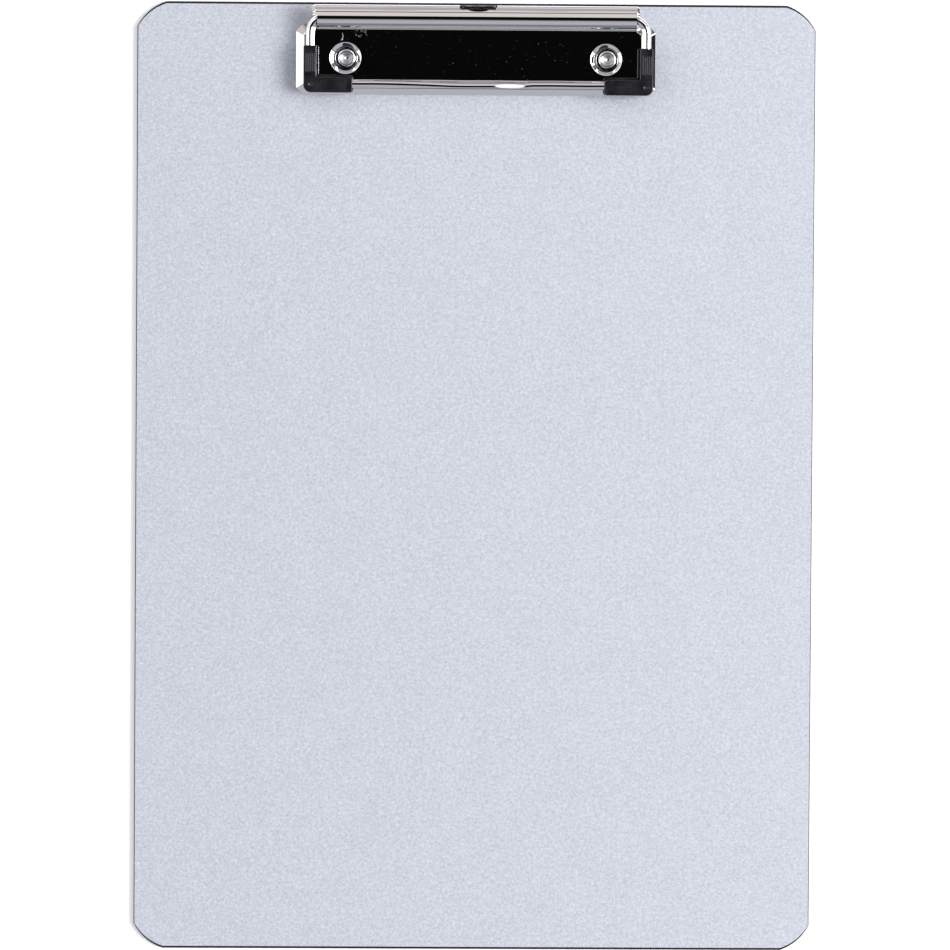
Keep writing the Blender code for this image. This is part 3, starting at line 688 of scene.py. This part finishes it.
def pierced_solid(name, side_rings, holes, edge_rings=(), sharp_deg=32.0):
    """Solid with flat top and bottom and round holes through it.

    side_rings run from the bottom face's rim to the top face's rim, and each hole is a centre
    and its (radius, height, sideways shift) steps from the top down.  Faces above the rings
    numbered in edge_rings take the second material.
    """
    mesh_edit = bmesh.new()
    loops = [[mesh_edit.verts.new(point) for point in ring] for ring in side_rings]
    for number, (lower, upper) in enumerate(zip(loops, loops[1:])):
        bridge(mesh_edit, lower, upper, 1 if number in edge_rings else 0)
    tops = []
    bottoms = []
    for centre, steps in holes:
        rings = []
        for radius, height, shift in steps:
            circle = arc(centre, radius, 0.0, 360.0, HOLE_STEPS)[:-1]
            rings.append([mesh_edit.verts.new((x + shift, y, height)) for x, y in circle])
        for upper, lower in zip(rings, rings[1:]):
            bridge(mesh_edit, upper, lower)
        tops.append(rings[0])
        bottoms.append(rings[-1])
    fill_between(mesh_edit, loops[-1], tops)
    fill_between(mesh_edit, loops[0], bottoms)
    return to_mesh(name, mesh_edit, sharp_deg)


def turned(name, profile, centre, steps=96, sharp_deg=32.0):
    """Solid of revolution about Z through centre, from (radius, height) points."""
    mesh_edit = bmesh.new()
    verts = [mesh_edit.verts.new((centre[0] + radius, centre[1], height)) for radius, height in profile]
    edges = [mesh_edit.edges.new(pair) for pair in zip(verts, verts[1:])]
    bmesh.ops.spin(
        mesh_edit, geom=verts + edges, axis=(0, 0, 1), cent=(centre[0], centre[1], 0),
        angle=math.tau, steps=steps, use_merge=True,
    )
    bmesh.ops.remove_doubles(mesh_edit, verts=mesh_edit.verts, dist=0.0005 * MM)
    return to_mesh(name, mesh_edit, sharp_deg)


def domed(ring, centre, push):
    """Two shrinking copies of a wire's end ring, each pushed outward a little."""
    steps = ((0.95, 0.12), (0.7, 0.25))
    return [[centre + (p - centre) * share + push * out for p in ring] for share, out in steps]


def tube(name, points, radius, sides):
    """Round wire along points, its ends domed."""
    points = [Vector(point) for point in points]
    mesh_edit = bmesh.new()
    along = (points[1] - points[0]).normalized()
    up = Vector((0, 0, 1)) if abs(along.z) < 0.9 else Vector((0, 1, 0))
    side = along.cross(up).normalized()
    loops = []
    last = len(points) - 1
    for index, point in enumerate(points):
        before = points[max(index - 1, 0)]
        after = points[min(index + 1, last)]
        heading = (after - before).normalized()
        side = (side - heading * side.dot(heading)).normalized()
        other = heading.cross(side)
        loops.append([
            point + (side * math.cos(math.tau * k / sides) + other * math.sin(math.tau * k / sides)) * radius
            for k in range(sides)
        ])
    start_push = (points[0] - points[1]).normalized() * radius
    end_push = (points[-1] - points[-2]).normalized() * radius
    start_dome = domed(loops[0], points[0], start_push)[::-1]
    end_dome = domed(loops[-1], points[-1], end_push)
    rings = [[mesh_edit.verts.new(p) for p in ring] for ring in start_dome + loops + end_dome]
    for lower, upper in zip(rings, rings[1:]):
        bridge(mesh_edit, lower, upper)
    mesh_edit.faces.new(rings[0][::-1])
    mesh_edit.faces.new(rings[-1])
    return to_mesh(name, mesh_edit)


def cut_away(mesh, cutter):
    """mesh with the cutter's solid taken out of it."""
    target = bpy.data.objects.new("cut_target", mesh)
    tool = bpy.data.objects.new("cut_tool", cutter)
    for obj in (target, tool):
        bpy.context.collection.objects.link(obj)
    modifier = target.modifiers.new("cut", "BOOLEAN")
    modifier.operation = "DIFFERENCE"
    modifier.object = tool
    depsgraph = bpy.context.evaluated_depsgraph_get()
    result = bpy.data.meshes.new_from_object(target.evaluated_get(depsgraph))
    result.name = mesh.name
    bpy.data.objects.remove(target)
    bpy.data.objects.remove(tool)
    return result


def add_piece(name, mesh, body, materials, replaces=None, frame_matrix=None, bevel=0.0):
    """Add a piece, riding on a body if one is given; replaces names the CAD node it stands for."""
    if frame_matrix is not None:
        mesh.transform(frame_matrix)
    for material in materials:
        mesh.materials.append(material)
    obj = bpy.data.objects.new(name, mesh)
    bpy.context.collection.objects.link(obj)
    if bevel:
        rounding = obj.modifiers.new("rounding", "BEVEL")
        rounding.width = bevel
        rounding.segments = 2
        rounding.limit_method = "ANGLE"
        rounding.angle_limit = math.radians(40)
        rounding.harden_normals = False
    weighted = obj.modifiers.new("flat_faces", "WEIGHTED_NORMAL")
    weighted.keep_sharp = True
    if body:
        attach(obj, body)
    if replaces:
        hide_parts(replaces)
    return obj


# --- board

def board_outline(inset):
    half_x = BOARD_HALF_X - inset * SIDE_BREAK_SHARE
    half_y = BOARD_HALF_Y - inset
    side_end = BOARD_HALF_Y - CORNER_CUT_Y
    end_end = BOARD_HALF_X - CORNER_CUT_X
    quarter = arc_through((half_x, side_end), (end_end, half_y), CORNER_RADIUS, 20)
    upper = mirrored(quarter)
    return upper + [(-x, -y) for x, y in upper]


def build_board(sheet, edge):
    levels = (
        (EDGE_BREAK, 0.0), (EDGE_BREAK * 0.25, 0.12 * MM), (0.0, 0.45 * MM),
        (0.0, BOARD_TOP - 0.45 * MM), (EDGE_BREAK * 0.25, BOARD_TOP - 0.16 * MM),
        (EDGE_BREAK, BOARD_TOP - 0.04 * MM), (EDGE_BREAK + 0.2 * MM, BOARD_TOP),
    )
    rings = stacked(board_outline, levels)
    tail = TAIL_RADIUS + GAP
    steps = [
        (RIVET_HOLE + 0.12 * MM, BOARD_TOP), (RIVET_HOLE, BOARD_TOP - 0.12 * MM), (RIVET_HOLE, 1.0 * MM),
        (tail, 1.0 * MM), (tail, 0.1 * MM), (tail + 0.1 * MM, 0.0),
    ]
    steps = [(radius, height, 0.0) for radius, height in steps]
    mesh = pierced_solid("board_sheet", rings, [(LEFT_RIVET, steps), (RIGHT_RIVET, steps)], (0, 1, 2, 3, 4))
    add_piece("board_sheet", mesh, BASE, [sheet, edge], "board")


# --- clip base

def tray_outline(inset):
    """The tray's outline, whose cut corners shrink as it climbs the bevel."""
    share = max(0.0, min(1.0, inset / TRAY_BEVEL))
    corner = TRAY_CORNER + (TRAY_TOP_CORNER - TRAY_CORNER) * share
    x = TRAY_HALF_X - inset
    front = TRAY_FRONT_Y + inset
    back = TRAY_BACK_Y - inset
    outline = [
        (x, front + corner), (x, back - corner), (x - corner, back), (-x + corner, back),
        (-x, back - corner), (-x, front + corner), (-x + corner, front), (x - corner, front),
    ]
    return [(TRAY_X + x, y) for x, y in rounded(outline, 0.5 * MM, 4)]


def bent_section(start, bend, end, radius, steps):
    """Points from start to end with a rounded bend between them."""
    middle = Vector(bend)
    first = middle + (Vector(start) - middle).normalized() * radius
    last = middle + (Vector(end) - middle).normalized() * radius
    return [start] + [bent(first, middle, last, step / steps) for step in range(steps + 1)]


def build_tray(plating):
    under = TRAY_TOP - SHEET
    slope = TRAY_BEVEL / (TRAY_TOP - TRAY_FOOT)
    inner = [(TRAY_BEVEL + SHEET * 0.4, under), (SHEET * 1.2 + slope * 0.05 * MM, TRAY_FOOT)]
    outer = bent_section((0.03 * MM, TRAY_FOOT), (TRAY_BEVEL, TRAY_TOP), (TRAY_BEVEL + 1.0 * MM, TRAY_TOP),
                         0.35 * MM, 5)
    foot = [(0.0, TRAY_FOOT + 0.02 * MM)]
    rings = stacked(tray_outline, inner + foot + outer[1:])

    floor = TRAY_FOOT + SHEET
    upper = bent_section((DIMPLE_RADIUS + 0.5 * MM, TRAY_TOP), (DIMPLE_RADIUS, TRAY_TOP),
                         (DIMPLE_FLOOR_RADIUS, floor), 0.22 * MM, 4)[1:]
    lower = bent_section((DIMPLE_RADIUS, TRAY_TOP), (DIMPLE_FLOOR_RADIUS, floor), (RIVET_HOLE, floor),
                         0.25 * MM, 4)[1:-1]
    outside = [(DIMPLE_FLOOR_RADIUS + SHEET * 0.6, TRAY_FOOT), (DIMPLE_RADIUS + SHEET * 0.5, under)]
    steps = [(radius, height, DIMPLE_SHIFT_X) for radius, height in upper + lower]
    steps += [(RIVET_HOLE, floor, 0.0), (RIVET_HOLE, TRAY_FOOT, 0.0)]
    steps += [(radius, height, DIMPLE_SHIFT_X) for radius, height in outside]
    mesh = pierced_solid("base_plate_tray", rings, [(LEFT_RIVET, steps), (RIGHT_RIVET, steps)], (), 25.0)
    near = TRAY_BACK_Y - BACK_OPENING_DEPTH
    far = TRAY_BACK_Y + 1.0 * MM
    x = BACK_OPENING_HALF_X
    corners = [(TRAY_X - x, near), (TRAY_X + x, near), (TRAY_X + x, far), (TRAY_X - x, far)]
    opening = [[(*corner, z) for corner in corners] for z in (1.0 * MM, 6.0 * MM)]
    mesh = cut_away(mesh, loft("back_opening", opening))
    add_piece("base_plate_tray", mesh, BASE, [plating], "base_plate")


def both_sides(reach):
    near, far = reach
    return (("left", -far, -near), ("right", near, far))


def strip_piece(name, path, thickness, low, high, sharp_deg=30.0):
    """A bent sheet from x low to x high, whose middle line is path."""
    outline = strip_outline(path, thickness)
    return loft(name, [[(x, y, z) for y, z in outline] for x in (low, high)], sharp_deg)


def tongue_outline(inset):
    right = [
        (TONGUE_HALF_X + TONGUE_FLARE - inset, TONGUE_START_Y),
        (TONGUE_HALF_X + TONGUE_FLARE - inset, TONGUE_CREASE_Y),
        (TONGUE_HALF_X + TONGUE_FLARE * 0.3 - inset, TONGUE_CREASE_Y + TONGUE_FLARE * 0.3),
        (TONGUE_HALF_X - inset, TONGUE_CREASE_Y + TONGUE_FLARE),
        (TONGUE_HALF_X - inset, TONGUE_BEND_Y), (SHELF_HALF_X - inset, TONGUE_BEND_Y),
        (SHELF_HALF_X - inset, SHELF_BACK_Y),
    ]
    return mirrored(right)


def build_knuckles(plating):
    tongue_z = TRAY_TOP - SHEET / 2 - HINGE.z
    start = (TONGUE_START_Y, tongue_z)
    bend = (TONGUE_BEND_Y, tongue_z)
    first_deg = tangent_angle(bend, KNUCKLE_RADIUS, 1)
    curl = arc((0, 0), KNUCKLE_RADIUS, first_deg, first_deg + KNUCKLE_SWEEP_DEG, 48)
    centre = Matrix.Translation((TRAY_X, HINGE.y, HINGE.z))
    top = tongue_z + SHEET / 2 + 0.003 * MM
    levels = ((0.0, top - SHEET), (0.0, top - 0.35 * MM), (0.04 * MM, top - 0.2 * MM),
              (0.15 * MM, top - 0.06 * MM), (0.35 * MM, top))
    flat = loft("base_plate_tongue", stacked(tongue_outline, levels), 40.0)
    add_piece("base_plate_tongue", flat, BASE, [plating], None, centre)
    for name, low, high in both_sides(KNUCKLE_X):
        piece = f"base_plate_{name}_knuckle"
        mesh = strip_piece(piece, [start, bend] + curl, SHEET * 0.96, low, high)
        add_piece(piece, mesh, BASE, [plating], None, centre, 0.12 * MM)


# --- lever

def roll_path():
    """Middle line of the roll: arcs joined by the narrow flats that the folding press left."""
    path = []
    for start, end, steps in ROLL_ARCS_DEG:
        path += arc((0, 0), LEVER_RADIUS, start, end, steps)
    return path + [on_circle((0, 0), LEVER_RADIUS, 90.0 - FLANGE_SLOPE_DEG)]


def lever_path():
    """Middle line of the lever's sheet, from its front lip over the roll to its hemmed edge."""
    path = roll_path()
    y, z = path[-1]
    for length, slope in FLANGE_FACETS:
        y += length
        z -= length * math.tan(math.radians(slope))
        path.append((y, z))
    hem_deg = 90.0 - FLANGE_EDGE_SLOPE_DEG
    hem_y = HEM_BACK_Y - HEM_RADIUS - LEVER_SHEET / 2
    hem_start_y = hem_y + HEM_RADIUS * math.cos(math.radians(hem_deg))
    z -= math.tan(math.radians(FLANGE_EDGE_SLOPE_DEG)) * (hem_start_y - y)
    hem_z = z - HEM_RADIUS * math.sin(math.radians(hem_deg))
    return path + arc((hem_y, hem_z), HEM_RADIUS, hem_deg, -90.0, 40)


def crimp_path():
    """Middle line of a crimp: off the roll, down and inward, then round the wire."""
    inner_radius = WIRE_RADIUS + GAP + CRIMP_SHEET / 2
    path = arc((0, 0), LEVER_RADIUS, 180.0, CRIMP_LEAVES_DEG, 4)
    steps = 20
    for step in range(1, steps + 1):
        share = step / steps
        share = share * share * (3 - 2 * share)
        radius = LEVER_RADIUS + (inner_radius - LEVER_RADIUS) * share
        path.append(on_circle((0, 0), radius, CRIMP_LEAVES_DEG + CRIMP_DIVE_DEG * step / steps))
    return path + arc((0, 0), inner_radius, *CRIMP_WRAP_DEG, 24)


def notch_outline():
    edge = HEM_BACK_Y
    lobe_start_y = edge - NOTCH_DEPTH
    right = [(NOTCH_HALF_X, edge + 1.0 * MM)]
    right += arc((NOTCH_HALF_X - NOTCH_SHOULDER, edge - NOTCH_SHOULDER_Y), NOTCH_SHOULDER, 0.0, -70.0, 8)
    for x, y in arc((0, 0), 1.0, 0.0, 90.0, 16):
        right.append((NOTCH_LOBE_HALF_X * x, lobe_start_y - (NOTCH_LOBE_DEPTH - NOTCH_DEPTH) * y))
    outline = right + [(-x, y) for x, y in reversed(right[:-1])]
    return [(NOTCH_X + x, y) for x, y in outline]


def lever_mesh():
    path = lever_path()
    rings = []
    stations = [(LEVER_HALF_X + LEVER_END_BEND * out, LEVER_END_DROP * down) for out, down in LEVER_END_STEPS]
    stations = [(-x, drop) for x, drop in reversed(stations)] + stations
    for x, drop in stations:
        outline = strip_outline(offset_path(path, -drop), LEVER_SHEET)
        rings.append([(x + LEVER_X, y, z) for y, z in outline])
    mesh = loft("lever_bar", rings, 5.0)
    cutter = loft("notch", [[(x, y, z) for x, y in notch_outline()] for z in (-1.0 * MM, 5.0 * MM)])
    mesh = cut_away(mesh, cutter)
    reach = 2 * LEVER_RADIUS
    trim = [(-reach, -reach), (ROLL_CUT_Y, -reach), (ROLL_CUT_Y, reach), (-reach, reach)]
    for side in (-1, 1):
        ends = (ROLL_X + side * ROLL_HALF_X, ROLL_X + side * (ROLL_HALF_X + 4 * MM))
        mesh = cut_away(mesh, loft("roll_trim", [[(x, y, z) for y, z in trim] for x in sorted(ends)]))
    return mesh


def build_lever(plating):
    add_piece("lever_bar", lever_mesh(), JAW, [plating], "lever", HINGE_FRAME, LEVER_BEVEL)
    for name, low, high in both_sides(CRIMP_X):
        piece = f"lever_{name}_crimp"
        mesh = strip_piece(piece, crimp_path(), CRIMP_SHEET, low, high)
        add_piece(piece, mesh, JAW, [plating], None, HINGE_FRAME, 0.08 * MM)


# --- wire and spring

def jaw_wire_points():
    right = [(PIN_END_X + (LEG_X - HINGE_BEND - PIN_END_X) * k / 12, 0.0) for k in range(12)]
    right += arc((LEG_X - HINGE_BEND, -HINGE_BEND), HINGE_BEND, 90.0, 0.0, 24)
    right += arc((LEG_X - CORNER_BEND, BAR_Y + CORNER_BEND), CORNER_BEND, 0.0, -90.0, 18)
    run = LEG_X - CORNER_BEND
    right += [(run * (1 - k / 24), BAR_Y) for k in range(1, 24)]
    (size_y, turn_y), (size_z, turn_z) = WANDER_Y, WANDER_Z
    return [(x, y + size_y * math.sin(x * turn_y), size_z * math.sin(x * turn_z)) for x, y in mirrored(right)]


def build_wire(plating):
    mesh = tube("jaw_wire_loop", jaw_wire_points(), WIRE_RADIUS, 40)
    add_piece("jaw_wire_loop", mesh, JAW, [plating], "jaw_wire", JAW_FRAME)


def spring_points():
    """Middle line of the spring: its left leg, coil and rise to the bridge, then their mirror image."""
    plate_z = TRAY_TOP - HINGE.z + GAP + SPRING_RADIUS
    exit_deg = 360.0 + tangent_angle((BRIDGE_Y, BRIDGE_Z), COIL_RADIUS, -1)
    sweep = 360.0 * COIL_TURNS + exit_deg - LEG_LEAVES_DEG
    steps = round(COIL_TURN_STEPS * sweep / 360.0)
    outer_x = COIL_INNER_X + COIL_PITCH * sweep / 360.0
    coil = []
    for step in range(steps + 1):
        share = step / steps
        x = -outer_x + COIL_PITCH * sweep / 360.0 * share
        coil.append((x, *on_circle((0, 0), COIL_RADIUS, LEG_LEAVES_DEG + sweep * share)))
    leave_y, leave_z = on_circle((0, 0), COIL_RADIUS, LEG_LEAVES_DEG)
    knee_y = leave_y - (leave_z - plate_z) / math.tan(math.radians(LEG_LEAVES_DEG - 270.0))
    leg = [(-outer_x, LEG_END_Y, plate_z), (-outer_x, knee_y - 0.4 * MM, plate_z),
           (-outer_x, knee_y, plate_z + 0.04 * MM)]
    corner_centre = Vector((-BRIDGE_HALF_X + BRIDGE_BEND, BRIDGE_Y - BRIDGE_BEND, BRIDGE_Z - BRIDGE_BEND / 2))
    corner = []
    for across, back in arc((0, 0), BRIDGE_BEND, 0.0, 90.0, 6):
        corner.append(corner_centre + Vector((-across, back, back / 2)))
    exit_point = Vector(coil[-1])
    rise = [tuple(exit_point.lerp(corner[0], step / 6)) for step in range(1, 6)]
    left = leg + coil + rise + [tuple(point) for point in corner]
    return left + [(-x, y, z) for x, y, z in reversed(left)]


def build_spring(steel):
    mesh = tube("torsion_spring_wire", spring_points(), SPRING_RADIUS, 16)
    spring = add_piece(mesh.name, mesh, None, [steel], "torsion_spring", HINGE_FRAME)
    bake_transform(spring)


# --- grips

def grip_outline(side, inset, widen=0.0):
    """The grip's L shape, drawn in by inset, its inner edges moved in by widen."""
    outer_x = LEG_X + GRIP_OUTER - inset
    inner_x = LEG_X - GRIP_INNER + inset - widen
    front_y = BAR_Y - GRIP_FRONT + inset
    rear_y = BAR_Y + GRIP_REAR - inset + widen
    leg_end = GRIP_LEG_END_Y - inset
    bar_end = GRIP_BAR_END_X + inset - widen * 0.4
    corner = max(GRIP_CORNER_RADIUS - inset, 0.4 * MM)
    end = max(GRIP_BAR_END_RADIUS - inset, 0.3 * MM)
    small = max(GRIP_LEG_END_RADIUS - inset, 0.15 * MM)
    inside = GRIP_INSIDE_RADIUS + inset
    points = arc((outer_x - small, leg_end - small), small, 0.0, 90.0, 5)
    points += arc((inner_x + small, leg_end - small), small, 90.0, 180.0, 5)
    points += arc((inner_x - inside, rear_y + inside), inside, 0.0, -90.0, 5)
    points += arc((bar_end + end, rear_y - end), end, 90.0, 180.0, 6)
    points += arc((bar_end + end, front_y + end), end, 180.0, 270.0, 6)
    points += arc((outer_x - corner, front_y + corner), corner, -90.0, 0.0, 10)
    return [(side * x, y) for x, y in points]


def grip_body(name, side):
    top = GRIP_HALF_HEIGHT
    levels = [
        (0.25 * MM, -top), (0.05 * MM, -top + 0.15 * MM), (0.0, -top + 0.4 * MM), (0.0, top - 0.55 * MM),
        (0.04 * MM, top - 0.3 * MM), (0.14 * MM, top - 0.1 * MM), (0.32 * MM, top),
    ]
    return loft(name, stacked(lambda inset: grip_outline(side, inset), levels), 40.0)


def stadium(centre, half_length, half_width, along_x):
    """Outline of a bar with round ends."""
    points = arc((half_length, 0), half_width, -90.0, 90.0, 8)
    points += arc((-half_length, 0), half_width, 90.0, 270.0, 8)
    if along_x:
        return [(centre[0] + a, centre[1] + b) for a, b in points]
    return [(centre[0] - b, centre[1] + a) for a, b in points]


def rib(name, centre, half_length, half_width, along_x):
    """A low half-round rib on a grip's top."""
    base = GRIP_HALF_HEIGHT - RIB_SINK
    thin = 0.02 * MM
    rings = []
    for step in range(6):
        angle = math.pi / 2 * step / 6
        shrink = half_width * math.cos(angle)
        outline = stadium(centre, half_length, max(shrink, thin), along_x)
        rings.append([(x, y, base + RIB_HEIGHT * math.sin(angle)) for x, y in outline])
    rings.append([(x, y, base + RIB_HEIGHT) for x, y in stadium(centre, half_length, thin, along_x)])
    return loft(name, rings, 60.0)


def dish(centre, radius, depth, top):
    """Cutter for a shallow round dimple."""
    profile = [(0.0, top - depth)]
    for step in range(1, 8):
        part = step / 8
        profile.append((radius * part, top - depth * (1 - part ** 2)))
    profile += [(radius, top), (radius, top + 0.5 * MM), (0.0, top + 0.5 * MM)]
    return turned("dimple", profile, centre, 40)


def build_grip(side, word, plastic):
    name = f"{word}_corner_grip"
    place = JAW_FRAME @ Matrix.Translation((0, GRIP_SLIDE_Y[word], 0))
    top = GRIP_HALF_HEIGHT
    mark = (side * (LEG_X - 0.3 * MM), BAR_Y - 0.35 * MM)
    body = cut_away(grip_body(f"{name}_body", side), dish(mark, GRIP_DISH_RADIUS, GRIP_DISH_DEPTH, top))
    add_piece(f"{name}_body", body, JAW, [plastic], name, place)

    levels = ((0.05 * MM, -top + 0.02 * MM), (0.0, -top + 0.15 * MM), (0.0, -top + 0.6 * MM),
              (0.12 * MM, -top + 0.8 * MM))
    rings = stacked(lambda inset: grip_outline(side, inset + 0.04 * MM, GRIP_FLANGE), levels)
    add_piece(f"{name}_foot", loft(f"{name}_foot", rings, 40.0), JAW, [plastic], None, place)

    leg_x = side * (LEG_X + (GRIP_OUTER - GRIP_INNER) / 2)
    leg_y = -15.2 * MM
    bar_x = side * (GRIP_BAR_END_X + 5.7 * MM)
    bar_y = BAR_Y + (GRIP_REAR - GRIP_FRONT) / 2
    for number in range(RIB_COUNT):
        shift = number - RIB_COUNT // 2
        half_length, half_width, spacing = LEG_RIB
        centre = (leg_x + shift * spacing, leg_y)
        mesh = rib(f"{name}_leg_rib_{number + 1}", centre, half_length, half_width, False)
        add_piece(mesh.name, mesh, JAW, [plastic], None, place)
        half_length, half_width, spacing = BAR_RIB
        centre = (bar_x, bar_y + shift * spacing)
        mesh = rib(f"{name}_bar_rib_{number + 1}", centre, half_length, half_width, True)
        add_piece(mesh.name, mesh, JAW, [plastic], None, place)


# --- rivets

def build_rivet(node, centre, plating):
    """Turned rivet: steep rolled head, a narrow lip, and a shallow cup with turning rings."""
    low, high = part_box(node)
    floor = TRAY_FOOT + SHEET + GAP
    crown = high[2]
    profile = [(radius * MM, crown - down * MM) for radius, down in RIVET_TOP]
    profile += [
        (RIVET_HEAD_RADIUS - 0.15 * MM, floor),
        (2.2 * MM, floor), (2.2 * MM, 0.7 * MM), (TAIL_RADIUS - 0.1 * MM, 0.7 * MM), (TAIL_RADIUS, 0.6 * MM),
        (TAIL_RADIUS, 0.25 * MM), (TAIL_RADIUS - 0.12 * MM, 0.1 * MM), (TAIL_RADIUS - 0.35 * MM, low[2]),
        (2.0 * MM, low[2]), (1.7 * MM, low[2] + 0.25 * MM), (0.8 * MM, low[2] + 0.5 * MM),
        (0.0, low[2] + 0.55 * MM),
    ]
    mesh = turned(f"{node}_body", profile, centre, 96, 40.0)
    for vert in mesh.vertices:
        reach = math.hypot(vert.co.x - centre[0], vert.co.y - centre[1])
        if vert.co.z > crown - 1.0 * MM and reach < CUP_RADIUS:
            vert.co.x += PIP_SHIFT_X * (1.0 - reach / CUP_RADIUS)
    add_piece(f"{node}_body", mesh, BASE, [plating], node)


# --- stage, light, camera

def build_floor(material):
    mesh_edit = bmesh.new()
    corners = [(-1, -1), (1, -1), (1, 1), (-1, 1)]
    z = BOARD_LOW.z - 0.05 * MM
    mesh_edit.faces.new([mesh_edit.verts.new((x * FLOOR_HALF, y * FLOOR_HALF, z)) for x, y in corners])
    mesh = bpy.data.meshes.new("studio_floor")
    mesh_edit.to_mesh(mesh)
    mesh_edit.free()
    mesh.materials.append(material)
    floor = bpy.data.objects.new("studio_floor", mesh)
    bpy.context.collection.objects.link(floor)


class Sky(Graph):
    """Studio light painted on the world: soft panels round a dark zenith."""

    def __init__(self):
        world = bpy.data.worlds.new("studio")
        bpy.context.scene.world = world
        world.use_nodes = True
        super().__init__(world.node_tree)
        self.tree.nodes.clear()
        self.x, self.y, self.z = self.parts(self.add("ShaderNodeTexCoord").outputs["Generated"])
        self.level = self.reach(self.x, self.y)
        self.colour = ZENITH

    def panel(self, colour, azimuths, elevations):
        """A soft-edged panel between two azimuths and two elevations."""
        def cosine(degrees):
            return math.cos(math.radians(degrees))

        def sine(degrees):
            return math.sin(math.radians(degrees))

        middle = sum(azimuths) / 2
        half = (azimuths[1] - azimuths[0]) / 2
        low, high = elevations
        blur = PANEL_BLUR_DEG
        towards = self.plus(self.times(self.x, cosine(middle)), self.times(self.y, sine(middle)))
        ahead = self.maths("DIVIDE", towards, self.level)
        mask = self.times(
            self.remap(ahead, cosine(half + blur), cosine(max(half - blur, 0)), smooth=True),
            self.remap(self.z, sine(low - blur), sine(low + blur), smooth=True),
            self.remap(self.z, sine(high + blur), sine(high - blur), smooth=True),
        )
        self.colour = self.blend(mask, self.colour, colour)

    def finish(self):
        """Ends the tree; the camera itself sees a plain pale backdrop."""
        light = self.add("ShaderNodeBackground")
        self.link(self.colour, light.inputs["Color"])
        plain = self.add("ShaderNodeBackground")
        self.fill(plain.inputs["Color"], BACKDROP)
        seen = self.add("ShaderNodeLightPath").outputs["Is Camera Ray"]
        choice = self.add("ShaderNodeMixShader")
        for source, target in zip((seen, light.outputs[0], plain.outputs[0]), choice.inputs):
            self.link(source, target)
        output = self.add("ShaderNodeOutputWorld")
        self.link(choice.outputs[0], output.inputs["Surface"])


def build_light():
    sky = Sky()
    for colour, azimuths, elevations in SKY_PANELS:
        sky.panel(colour, azimuths, elevations)
    sky.finish()


def build_camera():
    """Almost straight above the board: a long lens with a slight lean and a slight roll."""
    lean_x, lean_y = (math.sin(math.radians(degrees)) for degrees in CAMERA_LEAN_DEG)
    roll = math.radians(CAMERA_ROLL_DEG)
    back = Vector((lean_x, lean_y, 1.0)).normalized()
    right = Vector((-math.sin(roll), math.cos(roll), 0.0)).cross(back).normalized()
    up = back.cross(right).normalized()
    data = bpy.data.cameras.new("camera")
    data.sensor_width = SENSOR_MM
    data.lens = SENSOR_MM * CAMERA_DISTANCE / CAMERA_FIELD
    data.clip_start = 0.05
    data.clip_end = 20.0
    camera = bpy.data.objects.new("camera", data)
    bpy.context.collection.objects.link(camera)
    rotation = Matrix((right, up, back)).transposed().to_4x4()
    camera.matrix_world = Matrix.Translation(CAMERA_AIM + back * CAMERA_DISTANCE) @ rotation
    bpy.context.scene.camera = camera


def main():
    bpy.context.scene.view_settings.view_transform = "Standard"
    tray_plating = bright_plating("tray_plating", (0.88, 0.87, 0.87), 0.3, tray_wear)
    lever_plating = bright_plating("lever_plating", (0.90, 0.89, 0.89))
    plastic = grip_plastic()

    build_board(anodised_aluminium(), cut_edge())
    build_tray(tray_plating)
    build_knuckles(tray_plating)
    build_lever(lever_plating)
    build_wire(wire_plating((0.88, 0.87, 0.88)))
    build_spring(spring_steel())
    build_grip(-1, "left", plastic)
    build_grip(1, "right", plastic)
    for node, centre in (("left_rivet", LEFT_RIVET), ("right_rivet", RIGHT_RIVET)):
        build_rivet(node, centre, rivet_plating(f"{node}_plating", centre))
    build_floor(floor_white())
    build_light()
    build_camera()


main()
